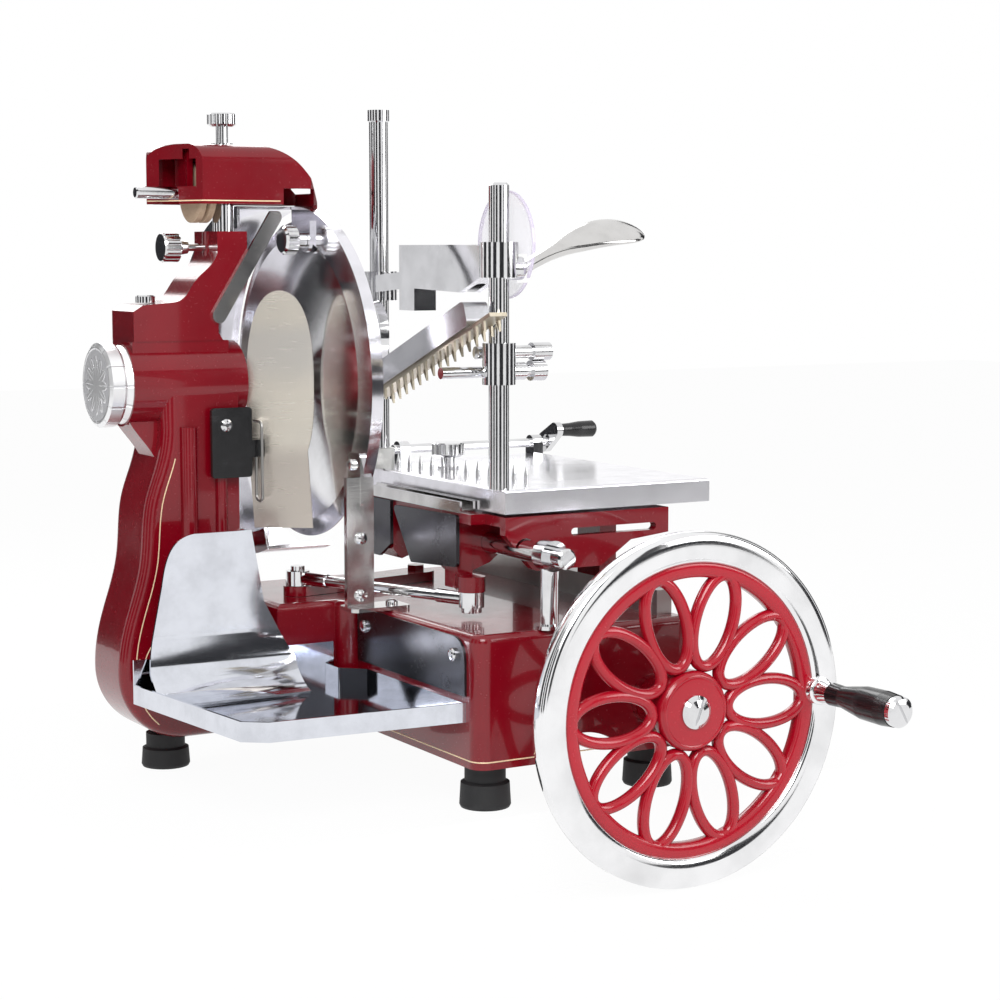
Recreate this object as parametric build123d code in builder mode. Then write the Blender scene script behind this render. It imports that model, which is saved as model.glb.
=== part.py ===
from build123d import *
import os
from math import asin, degrees, pi, sqrt

# Hand cranked flywheel slicer. Millimetres. X runs to the operator's right, Y away from the
# operator and Z up. The origin is on the counter top, in the middle of the four feet.

# ---- Fits ----
FIT = 0.4            # gap between faces that pass each other
RUNNING_FIT = 0.05   # radial clearance of a shaft in its bush
SEAT = 0.3           # gap between two moving pieces that carry each other

# ---- Feet ----
FOOT_DIAMETER = 40
FOOT_HEIGHT = 35
FOOT_SPREAD_Y = 254          # front feet to rear feet
FOOT_LEFT_X = -155           # the foot under the column
FOOT_RIGHT_X = 155
FOOT_FRONT_LEFT_X = 5
FRONT_FEET_Y = -FOOT_SPREAD_Y / 2
REAR_FEET_Y = FOOT_SPREAD_Y / 2
FOOT_SCREW_DIAMETER = 8

# ---- Base casting ----
BASE_TOP = 138
BASE_LEFT = -19
BASE_RIGHT = 176
BASE_FRONT = -157
BASE_BACK = 190
BASE_REAR_LEFT = -85         # where the base meets the column's foot
BASE_REAR_FRONT = 55         # front face of the wide rear part
BASE_WALL = 7
BASE_ROOF = 8
BASE_EDGE = 6                # rounding of the top edge
BASE_CORNER = 12
CORNER_COLUMN_RADIUS = 14
ARCH_HEIGHT = 20
ARCH_LEFT = 32
ARCH_RIGHT = 118
BOSS_RADIUS = 18             # wide enough to run into the walls beside it

# ---- Knife and its spindle ----
KNIFE_DIAMETER = 265
KNIFE_EDGE_X = -27
KNIFE_BEVEL = 14
KNIFE_DISH = 9
KNIFE_THICKNESS = 4
KNIFE_HUB_RADIUS = 42
SPINDLE_Y = 125
SPINDLE_Z = 317
SPINDLE_RADIUS = 11
KNIFE_RADIUS = KNIFE_DIAMETER / 2

# ---- Column and spindle housing ----
COLUMN_FRONT = 92
COLUMN_BACK = 162
COLUMN_LEFT = -165
COLUMN_RIGHT = -101
COLUMN_EDGE = 9
VOLUTE_RADIUS = 56
VOLUTE_X = -149
VOLUTE_Z = 84
HOUSING_RADIUS = 34
HOUSING_LEFT = -190
HOUSING_RIGHT = -92
BUSH_WALL = 5
BUSH_LENGTH = 22
CAP_RADIUS = 34
CAP_THICKNESS = 13

# ---- Chain drive inside the column ----
CHAIN_X = -134
CHAIN_WIDTH = 6
SPROCKET_RADIUS = 24
DRIVE_RATIO = 2              # knife turns for one turn of the flywheel
CHAIN_THICKNESS = 4
CHAMBER_WIDTH = 14

# ---- Main shafts in the base ----
SHAFT_Z = 75
SHAFT_X = 139
DRIVE_SHAFT_RADIUS = 10
CROSS_SHAFT_RADIUS = 9
BEVEL_RADIUS = 26
BEVEL_FACE = 10

# ---- Rocker arm and connecting rod that move the carriage ----
ROCKER_X = 80
ROCKER_LENGTH = 130
ROCKER_THICKNESS = 8
ROCKER_SHAFT_RADIUS = 9
ROCKER_TIP_Y = 97
ROCKER_HUB_RADIUS = 16
ROD_EYE_RADIUS = 10
ROD_RADIUS = 4.5
ROD_FRONT_X = 21
ROD_FRONT_Y = -78
ROCKER_EYE_RADIUS = 12

# ---- Flywheel ----
WHEEL_FRONT = -217
WHEEL_REAR = -199
WHEEL_RADIUS = 138
RIM_INNER_RADIUS = 115
RING_INNER_RADIUS = 103
WHEEL_HUB_RADIUS = 31
PETALS = 10
PETAL_LENGTH = 61
PETAL_WIDTH = 25
PETAL_BAND = 9.5
PETAL_CENTRE = 71
SPOKE_THICKNESS = 10
HANDLE_X = 118
HANDLE_Z = 5
HANDLE_LENGTH = 100
HANDLE_SPINDLE_RADIUS = 6

# ---- Guard ring and hood round the knife ----
GUARD_INNER = 119
GUARD_OUTER = 144
GUARD_LEFT = -84
GUARD_RIGHT = -25
GUARD_FACE_X = -35
GUARD_SHEET = 2.5
RING_START = 89              # degrees from +Y towards +Z
RING_END = 222
HOOD_START = -110

# ---- Guide bar and carriage ----
BAR_RADIUS = 8
BAR_X = 48
BAR_Z = 194
BAR_FRONT = -177
BAR_BACK = 179
BAR_POST_Y = -151
BAR_POST_RADIUS = 7
CARRIAGE_LEFT = 17
CARRIAGE_RIGHT = 182
CARRIAGE_FRONT = -115
CARRIAGE_BACK = 150
CARRIAGE_TOP = 220
LEG_FRONT = -60
LEG_LENGTH = 34
LEG_BOTTOM = 159
RAIL_X = 160
RAIL_TOP = 158

# ---- Meat table ----
TABLE_LEFT = 30
TABLE_RIGHT = 222
TABLE_FRONT = -115
TABLE_BACK = 155
TABLE_TOP = 241
TABLE_SKIRT = 18.5
TABLE_SHEET = 4
SPIKE_COUNT = 12
SPIKE_HEIGHT = 13

# ---- Posts and meat press ----
POST_X = 33
POST_RADIUS = 8
FRONT_POST_Y = -100
REAR_POST_Y = 100
FRONT_POST_TOP = 476
REAR_POST_TOP = 541


def keep(piece, name):
    """Label a finished piece and write it as one STEP file."""
    piece.part.label = name
    export_step(piece.part, "parts/" + name + ".step")


def turned(origin, direction, stations, bore=0.0):
    """A turned piece. Stations are (distance along the axis, radius)."""
    axis = Vector(*direction)
    side = Vector(0, 0, 1) if abs(axis.Z) < 0.5 else Vector(1, 0, 0)
    cut_plane = Plane(origin=origin, x_dir=direction, z_dir=axis.cross(side))
    start = stations[0][0]
    end = stations[-1][0]
    with BuildPart() as piece:
        with BuildSketch(cut_plane):
            with BuildLine():
                Polyline((start, 0), *stations, (end, 0), close=True)
            make_face()
            if bore > 0:
                with Locations(((start + end) / 2, 0)):
                    Rectangle(abs(end - start) + 2, 2 * bore, mode=Mode.SUBTRACT)
        revolve(axis=Axis(origin, direction))
    return piece


def ring_sector(radius_out, radius_in, start, end):
    """Sketch, round the origin, of the part of a ring between two angles."""
    span = end - start
    with BuildSketch() as sector:
        with BuildLine():
            outer = CenterArc((0, 0), radius_out, start, span)
            inner = CenterArc((0, 0), radius_in, start, span)
            Line(outer @ 0, inner @ 0)
            Line(outer @ 1, inner @ 1)
        make_face()
    return sector.sketch


def knife_plane(x):
    """Plane square to the spindle at this x, with its x axis along +Y and its y axis up."""
    return Plane(origin=(x, SPINDLE_Y, SPINDLE_Z), x_dir=(0, 1, 0), z_dir=(1, 0, 0))


def knurled(origin, direction, stations, radius, length, start, teeth=24):
    """A turned knob whose head has a row of flats cut round it."""
    head = Plane(origin=Vector(*origin) + Vector(*direction) * start, z_dir=direction)
    with BuildPart() as knob:
        add(turned(origin, direction, stations).part)
        with BuildSketch(head):
            with PolarLocations(radius, teeth):
                Circle(radius * pi / teeth / 2)
        extrude(amount=length, mode=Mode.SUBTRACT)
    return knob


os.makedirs("parts", exist_ok=True)

# =========================== Base, feet and inner bearings ===========================

shaft_centre = (SHAFT_X, 0, SHAFT_Z)
cross_y = SPINDLE_Y
hanger_x = 20
drive_hanger_y = 66
rocker_boss_bottom = SHAFT_Z + BEVEL_RADIUS + 5
bush_radius = BUSH_WALL + DRIVE_SHAFT_RADIUS

with BuildPart() as base_casting:
    with BuildSketch(Plane.XY.offset(FOOT_HEIGHT)):
        with BuildLine():
            Polyline(
                (BASE_LEFT, BASE_FRONT),
                (BASE_RIGHT, BASE_FRONT),
                (BASE_RIGHT, BASE_BACK),
                (BASE_REAR_LEFT, BASE_BACK),
                (BASE_REAR_LEFT, BASE_REAR_FRONT),
                (BASE_LEFT, BASE_REAR_FRONT),
                close=True,
            )
        make_face()
    extrude(amount=BASE_TOP - FOOT_HEIGHT)
    corners = base_casting.edges().filter_by(Axis.Z)
    fillet(corners.group_by(Axis.Y)[0] + corners.group_by(Axis.Y)[-1], BASE_CORNER)
    with BuildSketch(Plane.XY.offset(FOOT_HEIGHT)):
        with Locations((BASE_LEFT, BASE_REAR_FRONT)):
            Circle(CORNER_COLUMN_RADIUS)
    extrude(amount=BASE_TOP - FOOT_HEIGHT)
    # The hollow, open below
    with BuildSketch(Plane.XY.offset(FOOT_HEIGHT)):
        with BuildLine():
            Polyline(
                (BASE_LEFT + BASE_WALL, BASE_FRONT + BASE_WALL),
                (BASE_RIGHT - BASE_WALL, BASE_FRONT + BASE_WALL),
                (BASE_RIGHT - BASE_WALL, BASE_BACK - BASE_WALL),
                (BASE_REAR_LEFT + BASE_WALL, BASE_BACK - BASE_WALL),
                (BASE_REAR_LEFT + BASE_WALL, BASE_REAR_FRONT + BASE_WALL),
                (BASE_LEFT + BASE_WALL, BASE_REAR_FRONT + BASE_WALL),
                close=True,
            )
        make_face()
    extrude(amount=BASE_TOP - BASE_ROOF - FOOT_HEIGHT, mode=Mode.SUBTRACT)
    # Arch between the front feet
    with BuildSketch(Plane.XZ.offset(-BASE_FRONT)):
        with BuildLine():
            Polyline((ARCH_LEFT, FOOT_HEIGHT), (ARCH_RIGHT, FOOT_HEIGHT))
            Spline(
                (ARCH_RIGHT, FOOT_HEIGHT),
                ((ARCH_LEFT + ARCH_RIGHT) / 2, FOOT_HEIGHT + ARCH_HEIGHT),
                (ARCH_LEFT, FOOT_HEIGHT),
            )
        make_face()
    extrude(amount=-BASE_WALL, mode=Mode.SUBTRACT)
    # Foot pads
    for foot_x, foot_y in (
        (FOOT_FRONT_LEFT_X, FRONT_FEET_Y),
        (FOOT_RIGHT_X, FRONT_FEET_Y),
        (FOOT_RIGHT_X, REAR_FEET_Y),
    ):
        with BuildSketch(Plane.XY.offset(FOOT_HEIGHT)):
            with Locations((foot_x, foot_y)):
                Circle(BOSS_RADIUS)
        extrude(amount=BASE_TOP - BASE_ROOF - FOOT_HEIGHT)
        with BuildSketch(Plane.XY.offset(FOOT_HEIGHT)):
            with Locations((foot_x, foot_y)):
                Circle(FOOT_SCREW_DIAMETER / 2)
        extrude(amount=FOOT_HEIGHT, mode=Mode.SUBTRACT)
    # Hangers that carry the cross shaft and the back of the drive shaft
    with BuildSketch(Plane.YZ.offset(hanger_x - BUSH_LENGTH / 2)):
        with Locations((cross_y, (SHAFT_Z + BASE_TOP - BASE_ROOF) / 2)):
            Rectangle(4 * BUSH_WALL + 2 * CROSS_SHAFT_RADIUS, BASE_TOP - BASE_ROOF - SHAFT_Z)
        with Locations((cross_y, SHAFT_Z)):
            Circle(2 * BUSH_WALL + CROSS_SHAFT_RADIUS)
    extrude(amount=BUSH_LENGTH)
    with BuildSketch(Plane.XZ.offset(-drive_hanger_y)):
        with Locations((SHAFT_X, (SHAFT_Z + BASE_TOP - BASE_ROOF) / 2)):
            Rectangle(4 * BUSH_WALL + 2 * DRIVE_SHAFT_RADIUS, BASE_TOP - BASE_ROOF - SHAFT_Z)
        with Locations((SHAFT_X, SHAFT_Z)):
            Circle(2 * BUSH_WALL + DRIVE_SHAFT_RADIUS)
    extrude(amount=BUSH_LENGTH)
    # Front bearing boss
    with BuildSketch(Plane.XZ.offset(-BASE_FRONT + BASE_WALL)):
        with Locations((SHAFT_X, SHAFT_Z)):
            Circle(2 * BUSH_WALL + DRIVE_SHAFT_RADIUS)
    extrude(amount=-BASE_WALL - BUSH_LENGTH)
    # Rocker bearing boss under the roof
    with BuildSketch(Plane.XY.offset(BASE_TOP - BASE_ROOF)):
        with Locations((ROCKER_X, cross_y)):
            Circle(2 * BUSH_WALL + ROCKER_SHAFT_RADIUS)
    extrude(amount=rocker_boss_bottom - BASE_TOP + BASE_ROOF)
    # Bores
    with BuildSketch(Plane.YZ.offset(BASE_REAR_LEFT)):
        with Locations((cross_y, SHAFT_Z)):
            Circle(BUSH_WALL + CROSS_SHAFT_RADIUS)
    extrude(amount=hanger_x + BUSH_LENGTH / 2 - BASE_REAR_LEFT, mode=Mode.SUBTRACT)
    with BuildSketch(Plane.XZ.offset(-BASE_FRONT + BASE_WALL)):
        with Locations((SHAFT_X, SHAFT_Z)):
            Circle(bush_radius)
    extrude(amount=-BASE_WALL - drive_hanger_y + BASE_FRONT, mode=Mode.SUBTRACT)
    with BuildSketch(Plane.XY.offset(BASE_TOP)):
        with Locations((ROCKER_X, cross_y)):
            Circle(BUSH_WALL + ROCKER_SHAFT_RADIUS)
    extrude(amount=rocker_boss_bottom - BASE_TOP, mode=Mode.SUBTRACT)
    roof_edges = base_casting.faces().sort_by(Axis.Z)[-1].outer_wire().edges()
    fillet(roof_edges, BASE_EDGE)
keep(base_casting, "base_casting")


def make_foot(x, y, height):
    """Rubber foot with its screw, standing on the counter."""
    taper = 2
    waist = height * 0.55
    neck = height * 0.6
    return turned(
        (x, y, 0),
        (0, 0, 1),
        [
            (0, FOOT_DIAMETER / 2 - taper / 2),
            (taper, FOOT_DIAMETER / 2),
            (waist, FOOT_DIAMETER / 2 - taper / 2),
            (neck, FOOT_DIAMETER / 2 - 2 * taper),
            (height, FOOT_DIAMETER / 2 - 2 * taper),
            (height, FOOT_SCREW_DIAMETER / 2),
            (height + FOOT_SCREW_DIAMETER, FOOT_SCREW_DIAMETER / 2),
        ],
    ).part


column_foot_height = VOLUTE_Z - VOLUTE_RADIUS
with BuildPart() as feet:
    add(make_foot(FOOT_FRONT_LEFT_X, FRONT_FEET_Y, FOOT_HEIGHT))
    add(make_foot(FOOT_RIGHT_X, FRONT_FEET_Y, FOOT_HEIGHT))
    add(make_foot(FOOT_LEFT_X, REAR_FEET_Y, column_foot_height))
    add(make_foot(FOOT_RIGHT_X, REAR_FEET_Y, FOOT_HEIGHT))
keep(feet, "feet")

# =========================== Column with the spindle housing ===========================

pad_top = SPINDLE_Z + HOUSING_RADIUS + 1
small_sprocket_radius = SPROCKET_RADIUS / DRIVE_RATIO
chamber_margin = CHAIN_THICKNESS + 2

with BuildPart() as column_casting:
    with BuildSketch(Plane.XZ.offset(-COLUMN_FRONT)):
        with BuildLine():
            flare = Spline(
                (COLUMN_LEFT, SPINDLE_Z - HOUSING_RADIUS),
                (COLUMN_LEFT - 15, SPINDLE_Z - 95),
                (COLUMN_LEFT - 20, SPINDLE_Z - 143),
                (VOLUTE_X - VOLUTE_RADIUS, VOLUTE_Z),
                tangents=[(0, -1), (0, -1)],
            )
            scroll = CenterArc((VOLUTE_X, VOLUTE_Z), VOLUTE_RADIUS, 180, 90)
            Polyline(
                scroll @ 1,
                (BASE_REAR_LEFT, VOLUTE_Z - VOLUTE_RADIUS),
                (BASE_REAR_LEFT, BASE_TOP),
            )
            Spline(
                (BASE_REAR_LEFT, BASE_TOP),
                (COLUMN_RIGHT, BASE_TOP + 30),
                tangents=[(-1, 0), (0, 1)],
            )
            Polyline((COLUMN_RIGHT, BASE_TOP + 30), (COLUMN_RIGHT, SPINDLE_Z), (COLUMN_LEFT, SPINDLE_Z), flare @ 0)
        make_face()
    extrude(amount=-(COLUMN_BACK - COLUMN_FRONT))
    long_edges = column_casting.edges().filter_by(lambda e: e.length > 60).group_by(Axis.Y)
    fillet([e for e in long_edges[0] + long_edges[-1] if e.center().X < COLUMN_LEFT + 5], COLUMN_EDGE)
    # Spindle housing and the flat pad on it
    with BuildSketch(Plane.YZ.offset(HOUSING_LEFT)):
        with Locations((SPINDLE_Y, SPINDLE_Z)):
            Circle(HOUSING_RADIUS)
    extrude(amount=HOUSING_RIGHT - HOUSING_LEFT)
    with BuildSketch(Plane.XY.offset(SPINDLE_Z)):
        with Locations(((HOUSING_LEFT + COLUMN_RIGHT) / 2, SPINDLE_Y)):
            Rectangle(COLUMN_RIGHT - HOUSING_LEFT - 6, 44)
    extrude(amount=pad_top - SPINDLE_Z)
    # Corbel under the left end of the housing
    with BuildSketch(Plane.XZ.offset(-SPINDLE_Y + HOUSING_RADIUS / 2)):
        with BuildLine():
            Line((COLUMN_LEFT + 1, SPINDLE_Z), (COLUMN_LEFT + 1, SPINDLE_Z - 2 * HOUSING_RADIUS))
            Spline(
                (COLUMN_LEFT + 1, SPINDLE_Z - 2 * HOUSING_RADIUS),
                (HOUSING_LEFT, SPINDLE_Z - HOUSING_RADIUS * 0.8),
                tangents=[(-0.3, 1), (-0.5, 1)],
            )
            Polyline(
                (HOUSING_LEFT, SPINDLE_Z - HOUSING_RADIUS * 0.8),
                (HOUSING_LEFT, SPINDLE_Z),
                (COLUMN_LEFT + 1, SPINDLE_Z),
            )
        make_face()
    extrude(amount=-HOUSING_RADIUS)
    # Half-round moulding up the front face
    for rib_x, rib_radius in ((COLUMN_LEFT + 20, 7), (COLUMN_RIGHT - 16, 5)):
        with BuildSketch(Plane.XY.offset(BASE_TOP + 30)):
            with Locations((rib_x, COLUMN_FRONT)):
                Circle(rib_radius)
        extrude(amount=SPINDLE_Z - HOUSING_RADIUS - BASE_TOP - 30)
    # Lug for the hood
    with BuildSketch(Plane.YZ.offset(COLUMN_RIGHT - 2)):
        with Locations((SPINDLE_Y, SPINDLE_Z - (GUARD_INNER + GUARD_OUTER) / 2)):
            Circle(8)
    extrude(amount=GUARD_LEFT - COLUMN_RIGHT + 2)
    # Bores: spindle, cross shaft, chain chamber, foot screw
    with BuildSketch(Plane.YZ.offset(HOUSING_LEFT)):
        with Locations((SPINDLE_Y, SPINDLE_Z)):
            Circle(SPINDLE_RADIUS + BUSH_WALL)
    extrude(amount=HOUSING_RIGHT - HOUSING_LEFT, mode=Mode.SUBTRACT)
    with BuildSketch(Plane.YZ.offset(BASE_REAR_LEFT)):
        with Locations((cross_y, SHAFT_Z)):
            Circle(CROSS_SHAFT_RADIUS + BUSH_WALL)
    extrude(amount=CHAIN_X - BASE_REAR_LEFT - 38, mode=Mode.SUBTRACT)
    with BuildSketch(Plane.YZ.offset(CHAIN_X - CHAMBER_WIDTH / 2)) as chamber:
        with Locations((SPINDLE_Y, SPINDLE_Z)):
            Circle(small_sprocket_radius + chamber_margin)
        with Locations((cross_y, SHAFT_Z)):
            Circle(SPROCKET_RADIUS + chamber_margin)
        make_hull()
    extrude(amount=CHAMBER_WIDTH, mode=Mode.SUBTRACT)
    with BuildSketch(Plane.XY.offset(column_foot_height - 1)):
        with Locations((FOOT_LEFT_X, REAR_FEET_Y)):
            Circle(FOOT_SCREW_DIAMETER / 2)
    extrude(amount=FOOT_SCREW_DIAMETER * 2, mode=Mode.SUBTRACT)
keep(column_casting, "column_casting")


def bush(origin, direction, length, radius):
    """Plain bronze bush round a shaft of this radius."""
    outside = radius + BUSH_WALL
    stations = [(0, outside), (length, outside)]
    return turned(origin, direction, stations, radius + RUNNING_FIT)


with BuildPart() as shaft_bushes:
    for bush_start, bush_way, bush_length, bush_shaft in (
        ((HOUSING_LEFT, SPINDLE_Y, SPINDLE_Z), (1, 0, 0), BUSH_LENGTH, SPINDLE_RADIUS),
        ((HOUSING_RIGHT, SPINDLE_Y, SPINDLE_Z), (-1, 0, 0), BUSH_LENGTH, SPINDLE_RADIUS),
        ((hanger_x - BUSH_LENGTH / 2, cross_y, SHAFT_Z), (1, 0, 0), BUSH_LENGTH, CROSS_SHAFT_RADIUS),
        ((BASE_REAR_LEFT - BUSH_LENGTH, cross_y, SHAFT_Z), (1, 0, 0), BUSH_LENGTH, CROSS_SHAFT_RADIUS),
        ((SHAFT_X, BASE_FRONT - BASE_WALL, SHAFT_Z), (0, 1, 0), BUSH_LENGTH, DRIVE_SHAFT_RADIUS),
        ((SHAFT_X, drive_hanger_y, SHAFT_Z), (0, -1, 0), BUSH_LENGTH, DRIVE_SHAFT_RADIUS),
        ((ROCKER_X, cross_y, BASE_TOP), (0, 0, -1), BASE_TOP - rocker_boss_bottom, ROCKER_SHAFT_RADIUS),
    ):
        add(bush(bush_start, bush_way, bush_length, bush_shaft).part)
keep(shaft_bushes, "shaft_bushes")

# =========================== Shafts, bevel gears and chain ===========================

bevel_small = BEVEL_RADIUS - BEVEL_FACE
gear_back = 4


drive_shaft = turned(
    (SHAFT_X, 0, SHAFT_Z),
    (0, 1, 0),
    [
        (WHEEL_FRONT + SPOKE_THICKNESS / 2, DRIVE_SHAFT_RADIUS),
        (cross_y - BEVEL_RADIUS - gear_back, DRIVE_SHAFT_RADIUS),
        (cross_y - BEVEL_RADIUS - gear_back, BEVEL_RADIUS - gear_back),
        (cross_y - BEVEL_RADIUS, BEVEL_RADIUS - FIT),
        (cross_y - bevel_small, bevel_small - FIT),
    ],
)
keep(drive_shaft, "drive_shaft")

sprocket_x = CHAIN_X - CHAIN_WIDTH / 2


def sprocket(centre_z, radius, shaft_radius, teeth):
    """Chain wheel with round-bottomed gaps between its teeth."""
    tooth_pitch = 2 * pi * radius / teeth
    with BuildPart() as wheel:
        with BuildSketch(Plane.YZ.offset(sprocket_x + 1)):
            with Locations((SPINDLE_Y, centre_z)):
                Circle(radius - FIT)
                with PolarLocations(radius, teeth):
                    Circle(tooth_pitch * 0.28, mode=Mode.SUBTRACT)
                Circle(shaft_radius, mode=Mode.SUBTRACT)
        extrude(amount=CHAIN_WIDTH - 2)
    return wheel.part


sprocket_teeth = 24
with BuildPart() as cross_shaft:
    add(
        turned(
            (0, cross_y, SHAFT_Z),
            (1, 0, 0),
            [
                (CHAIN_X - CHAMBER_WIDTH / 2 - 28, CROSS_SHAFT_RADIUS),
                (SHAFT_X - BEVEL_RADIUS - gear_back, CROSS_SHAFT_RADIUS),
                (SHAFT_X - BEVEL_RADIUS - gear_back, BEVEL_RADIUS - gear_back),
                (SHAFT_X - BEVEL_RADIUS, BEVEL_RADIUS - FIT),
                (SHAFT_X - bevel_small, bevel_small - FIT),
            ],
        ).part
    )
    add(sprocket(SHAFT_Z, SPROCKET_RADIUS, CROSS_SHAFT_RADIUS, sprocket_teeth))
keep(cross_shaft, "cross_shaft")

with BuildPart() as knife_chain:
    with BuildSketch(Plane.YZ.offset(sprocket_x)):
        with BuildSketch(Plane.YZ.offset(sprocket_x), mode=Mode.PRIVATE) as chain_outside:
            with Locations((SPINDLE_Y, SPINDLE_Z)):
                Circle(small_sprocket_radius + CHAIN_THICKNESS)
            with Locations((cross_y, SHAFT_Z)):
                Circle(SPROCKET_RADIUS + CHAIN_THICKNESS)
            make_hull()
        with BuildSketch(Plane.YZ.offset(sprocket_x), mode=Mode.PRIVATE) as chain_inside:
            with Locations((SPINDLE_Y, SPINDLE_Z)):
                Circle(small_sprocket_radius)
            with Locations((cross_y, SHAFT_Z)):
                Circle(SPROCKET_RADIUS)
            make_hull()
        add(chain_outside.sketch_local)
        add(chain_inside.sketch_local, mode=Mode.SUBTRACT)
    extrude(amount=CHAIN_WIDTH)
keep(knife_chain, "knife_chain")

# =========================== Flywheel, its screw and its handle ===========================

hub_back = BASE_FRONT - BASE_WALL - SEAT
spoke_front = WHEEL_FRONT + (WHEEL_REAR - WHEEL_FRONT - SPOKE_THICKNESS) / 2
petal_out = PETAL_LENGTH / 2 + PETAL_BAND
petal_side = PETAL_WIDTH / 2 + PETAL_BAND
spoke_plane = Plane(origin=(SHAFT_X, spoke_front, SHAFT_Z), x_dir=(1, 0, 0), z_dir=(0, -1, 0))

with BuildPart() as flywheel:
    with BuildSketch(spoke_plane):
        Circle(RIM_INNER_RADIUS + 1)
        Circle(RING_INNER_RADIUS, mode=Mode.SUBTRACT)
        Circle(WHEEL_HUB_RADIUS + 1)
        with PolarLocations(PETAL_CENTRE, PETALS):
            Ellipse(petal_out, petal_side)
        with PolarLocations(PETAL_CENTRE, PETALS):
            Ellipse(PETAL_LENGTH / 2, PETAL_WIDTH / 2, mode=Mode.SUBTRACT)
        Circle(DRIVE_SHAFT_RADIUS, mode=Mode.SUBTRACT)
    extrude(amount=-SPOKE_THICKNESS)
    with BuildSketch(Plane(origin=(SHAFT_X, 0, SHAFT_Z), x_dir=(0, 1, 0), z_dir=(0, 0, -1))):
        with BuildLine():
            Polyline(
                (WHEEL_FRONT + 2, RIM_INNER_RADIUS),
                (WHEEL_FRONT, RIM_INNER_RADIUS + 3),
                (WHEEL_FRONT, WHEEL_RADIUS - 4),
                (WHEEL_FRONT + 4, WHEEL_RADIUS),
                (WHEEL_REAR - 4, WHEEL_RADIUS),
                (WHEEL_REAR, WHEEL_RADIUS - 4),
                (WHEEL_REAR, RIM_INNER_RADIUS),
                close=True,
            )
        make_face()
    revolve(axis=Axis(shaft_centre, (0, 1, 0)))
    with BuildSketch(Plane(origin=(SHAFT_X, 0, SHAFT_Z), x_dir=(0, 1, 0), z_dir=(0, 0, -1))):
        with BuildLine():
            Polyline(
                (WHEEL_FRONT + 1, DRIVE_SHAFT_RADIUS),
                (WHEEL_FRONT + 1, WHEEL_HUB_RADIUS - 3),
                (WHEEL_FRONT + 4, WHEEL_HUB_RADIUS),
                (WHEEL_REAR, WHEEL_HUB_RADIUS),
                (WHEEL_REAR + 4, 2 * BUSH_WALL + DRIVE_SHAFT_RADIUS),
                (hub_back, 2 * BUSH_WALL + DRIVE_SHAFT_RADIUS),
                (hub_back, DRIVE_SHAFT_RADIUS),
                close=True,
            )
        make_face()
    revolve(axis=Axis(shaft_centre, (0, 1, 0)))
    with BuildSketch(Plane.XZ.offset(-WHEEL_REAR)):
        with Locations((SHAFT_X + HANDLE_X, SHAFT_Z + HANDLE_Z)):
            Circle(HANDLE_SPINDLE_RADIUS + 5)
    extrude(amount=WHEEL_REAR - WHEEL_FRONT + 3)
    with BuildSketch(Plane.XZ.offset(-WHEEL_REAR)):
        with Locations((SHAFT_X + HANDLE_X, SHAFT_Z + HANDLE_Z)):
            Circle(HANDLE_SPINDLE_RADIUS)
    extrude(amount=WHEEL_REAR - WHEEL_FRONT + 3, mode=Mode.SUBTRACT)
keep(flywheel, "flywheel")

screw_head = 13
screw_stations = [(0, screw_head), (1.5, screw_head), (4, screw_head * 0.75), (5.5, screw_head * 0.35)]
with BuildPart() as wheel_screw:
    add(turned((SHAFT_X, WHEEL_FRONT + 1, SHAFT_Z), (0, -1, 0), screw_stations).part)
    with BuildSketch(Plane.XZ.offset(-WHEEL_FRONT + 2.5)):
        with Locations((SHAFT_X, SHAFT_Z)):
            Rectangle(2.4, 3 * screw_head, rotation=-20)
    extrude(amount=screw_head, mode=Mode.SUBTRACT)
keep(wheel_screw, "wheel_screw")

handle_origin = (SHAFT_X + HANDLE_X, WHEEL_FRONT - 3, SHAFT_Z + HANDLE_Z)
handle_length = HANDLE_LENGTH - 3
grip_start = 14
grip_end = handle_length - 8
grip_hole = HANDLE_SPINDLE_RADIUS - 2
cap_stations = [
    (grip_end + SEAT, 12),
    (grip_end + 5, 12),
    (handle_length - 1, 10),
    (handle_length, 7),
]
with BuildPart() as handle_stud:
    add(
        turned(
            handle_origin,
            (0, -1, 0),
            [
                (WHEEL_FRONT - WHEEL_REAR - 3, HANDLE_SPINDLE_RADIUS),
                (0, HANDLE_SPINDLE_RADIUS),
                (0, HANDLE_SPINDLE_RADIUS + 3),
                (4, HANDLE_SPINDLE_RADIUS + 3),
                (grip_start - SEAT, HANDLE_SPINDLE_RADIUS + 1),
                (grip_start - SEAT, grip_hole),
                (grip_end + SEAT, grip_hole),
                *cap_stations,
            ],
        ).part
    )
    with BuildSketch(Plane.XZ.offset(-WHEEL_FRONT + HANDLE_LENGTH - 2)):
        with Locations((SHAFT_X + HANDLE_X, SHAFT_Z + HANDLE_Z)):
            Rectangle(2, 30, rotation=30)
    extrude(amount=5, mode=Mode.SUBTRACT)
keep(handle_stud, "handle_stud")
handle_grip = turned(
    handle_origin,
    (0, -1, 0),
    [
        (grip_start, 9),
        (grip_start + 14, 8.5),
        (grip_start + 28, 11),
        (grip_start + 40, 13),
        (grip_end - 12, 13.5),
        (grip_end, 12.5),
    ],
    grip_hole + RUNNING_FIT * 2,
)
keep(handle_grip, "handle_grip")
# =========================== Knife, spindle and cap ===========================

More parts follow.
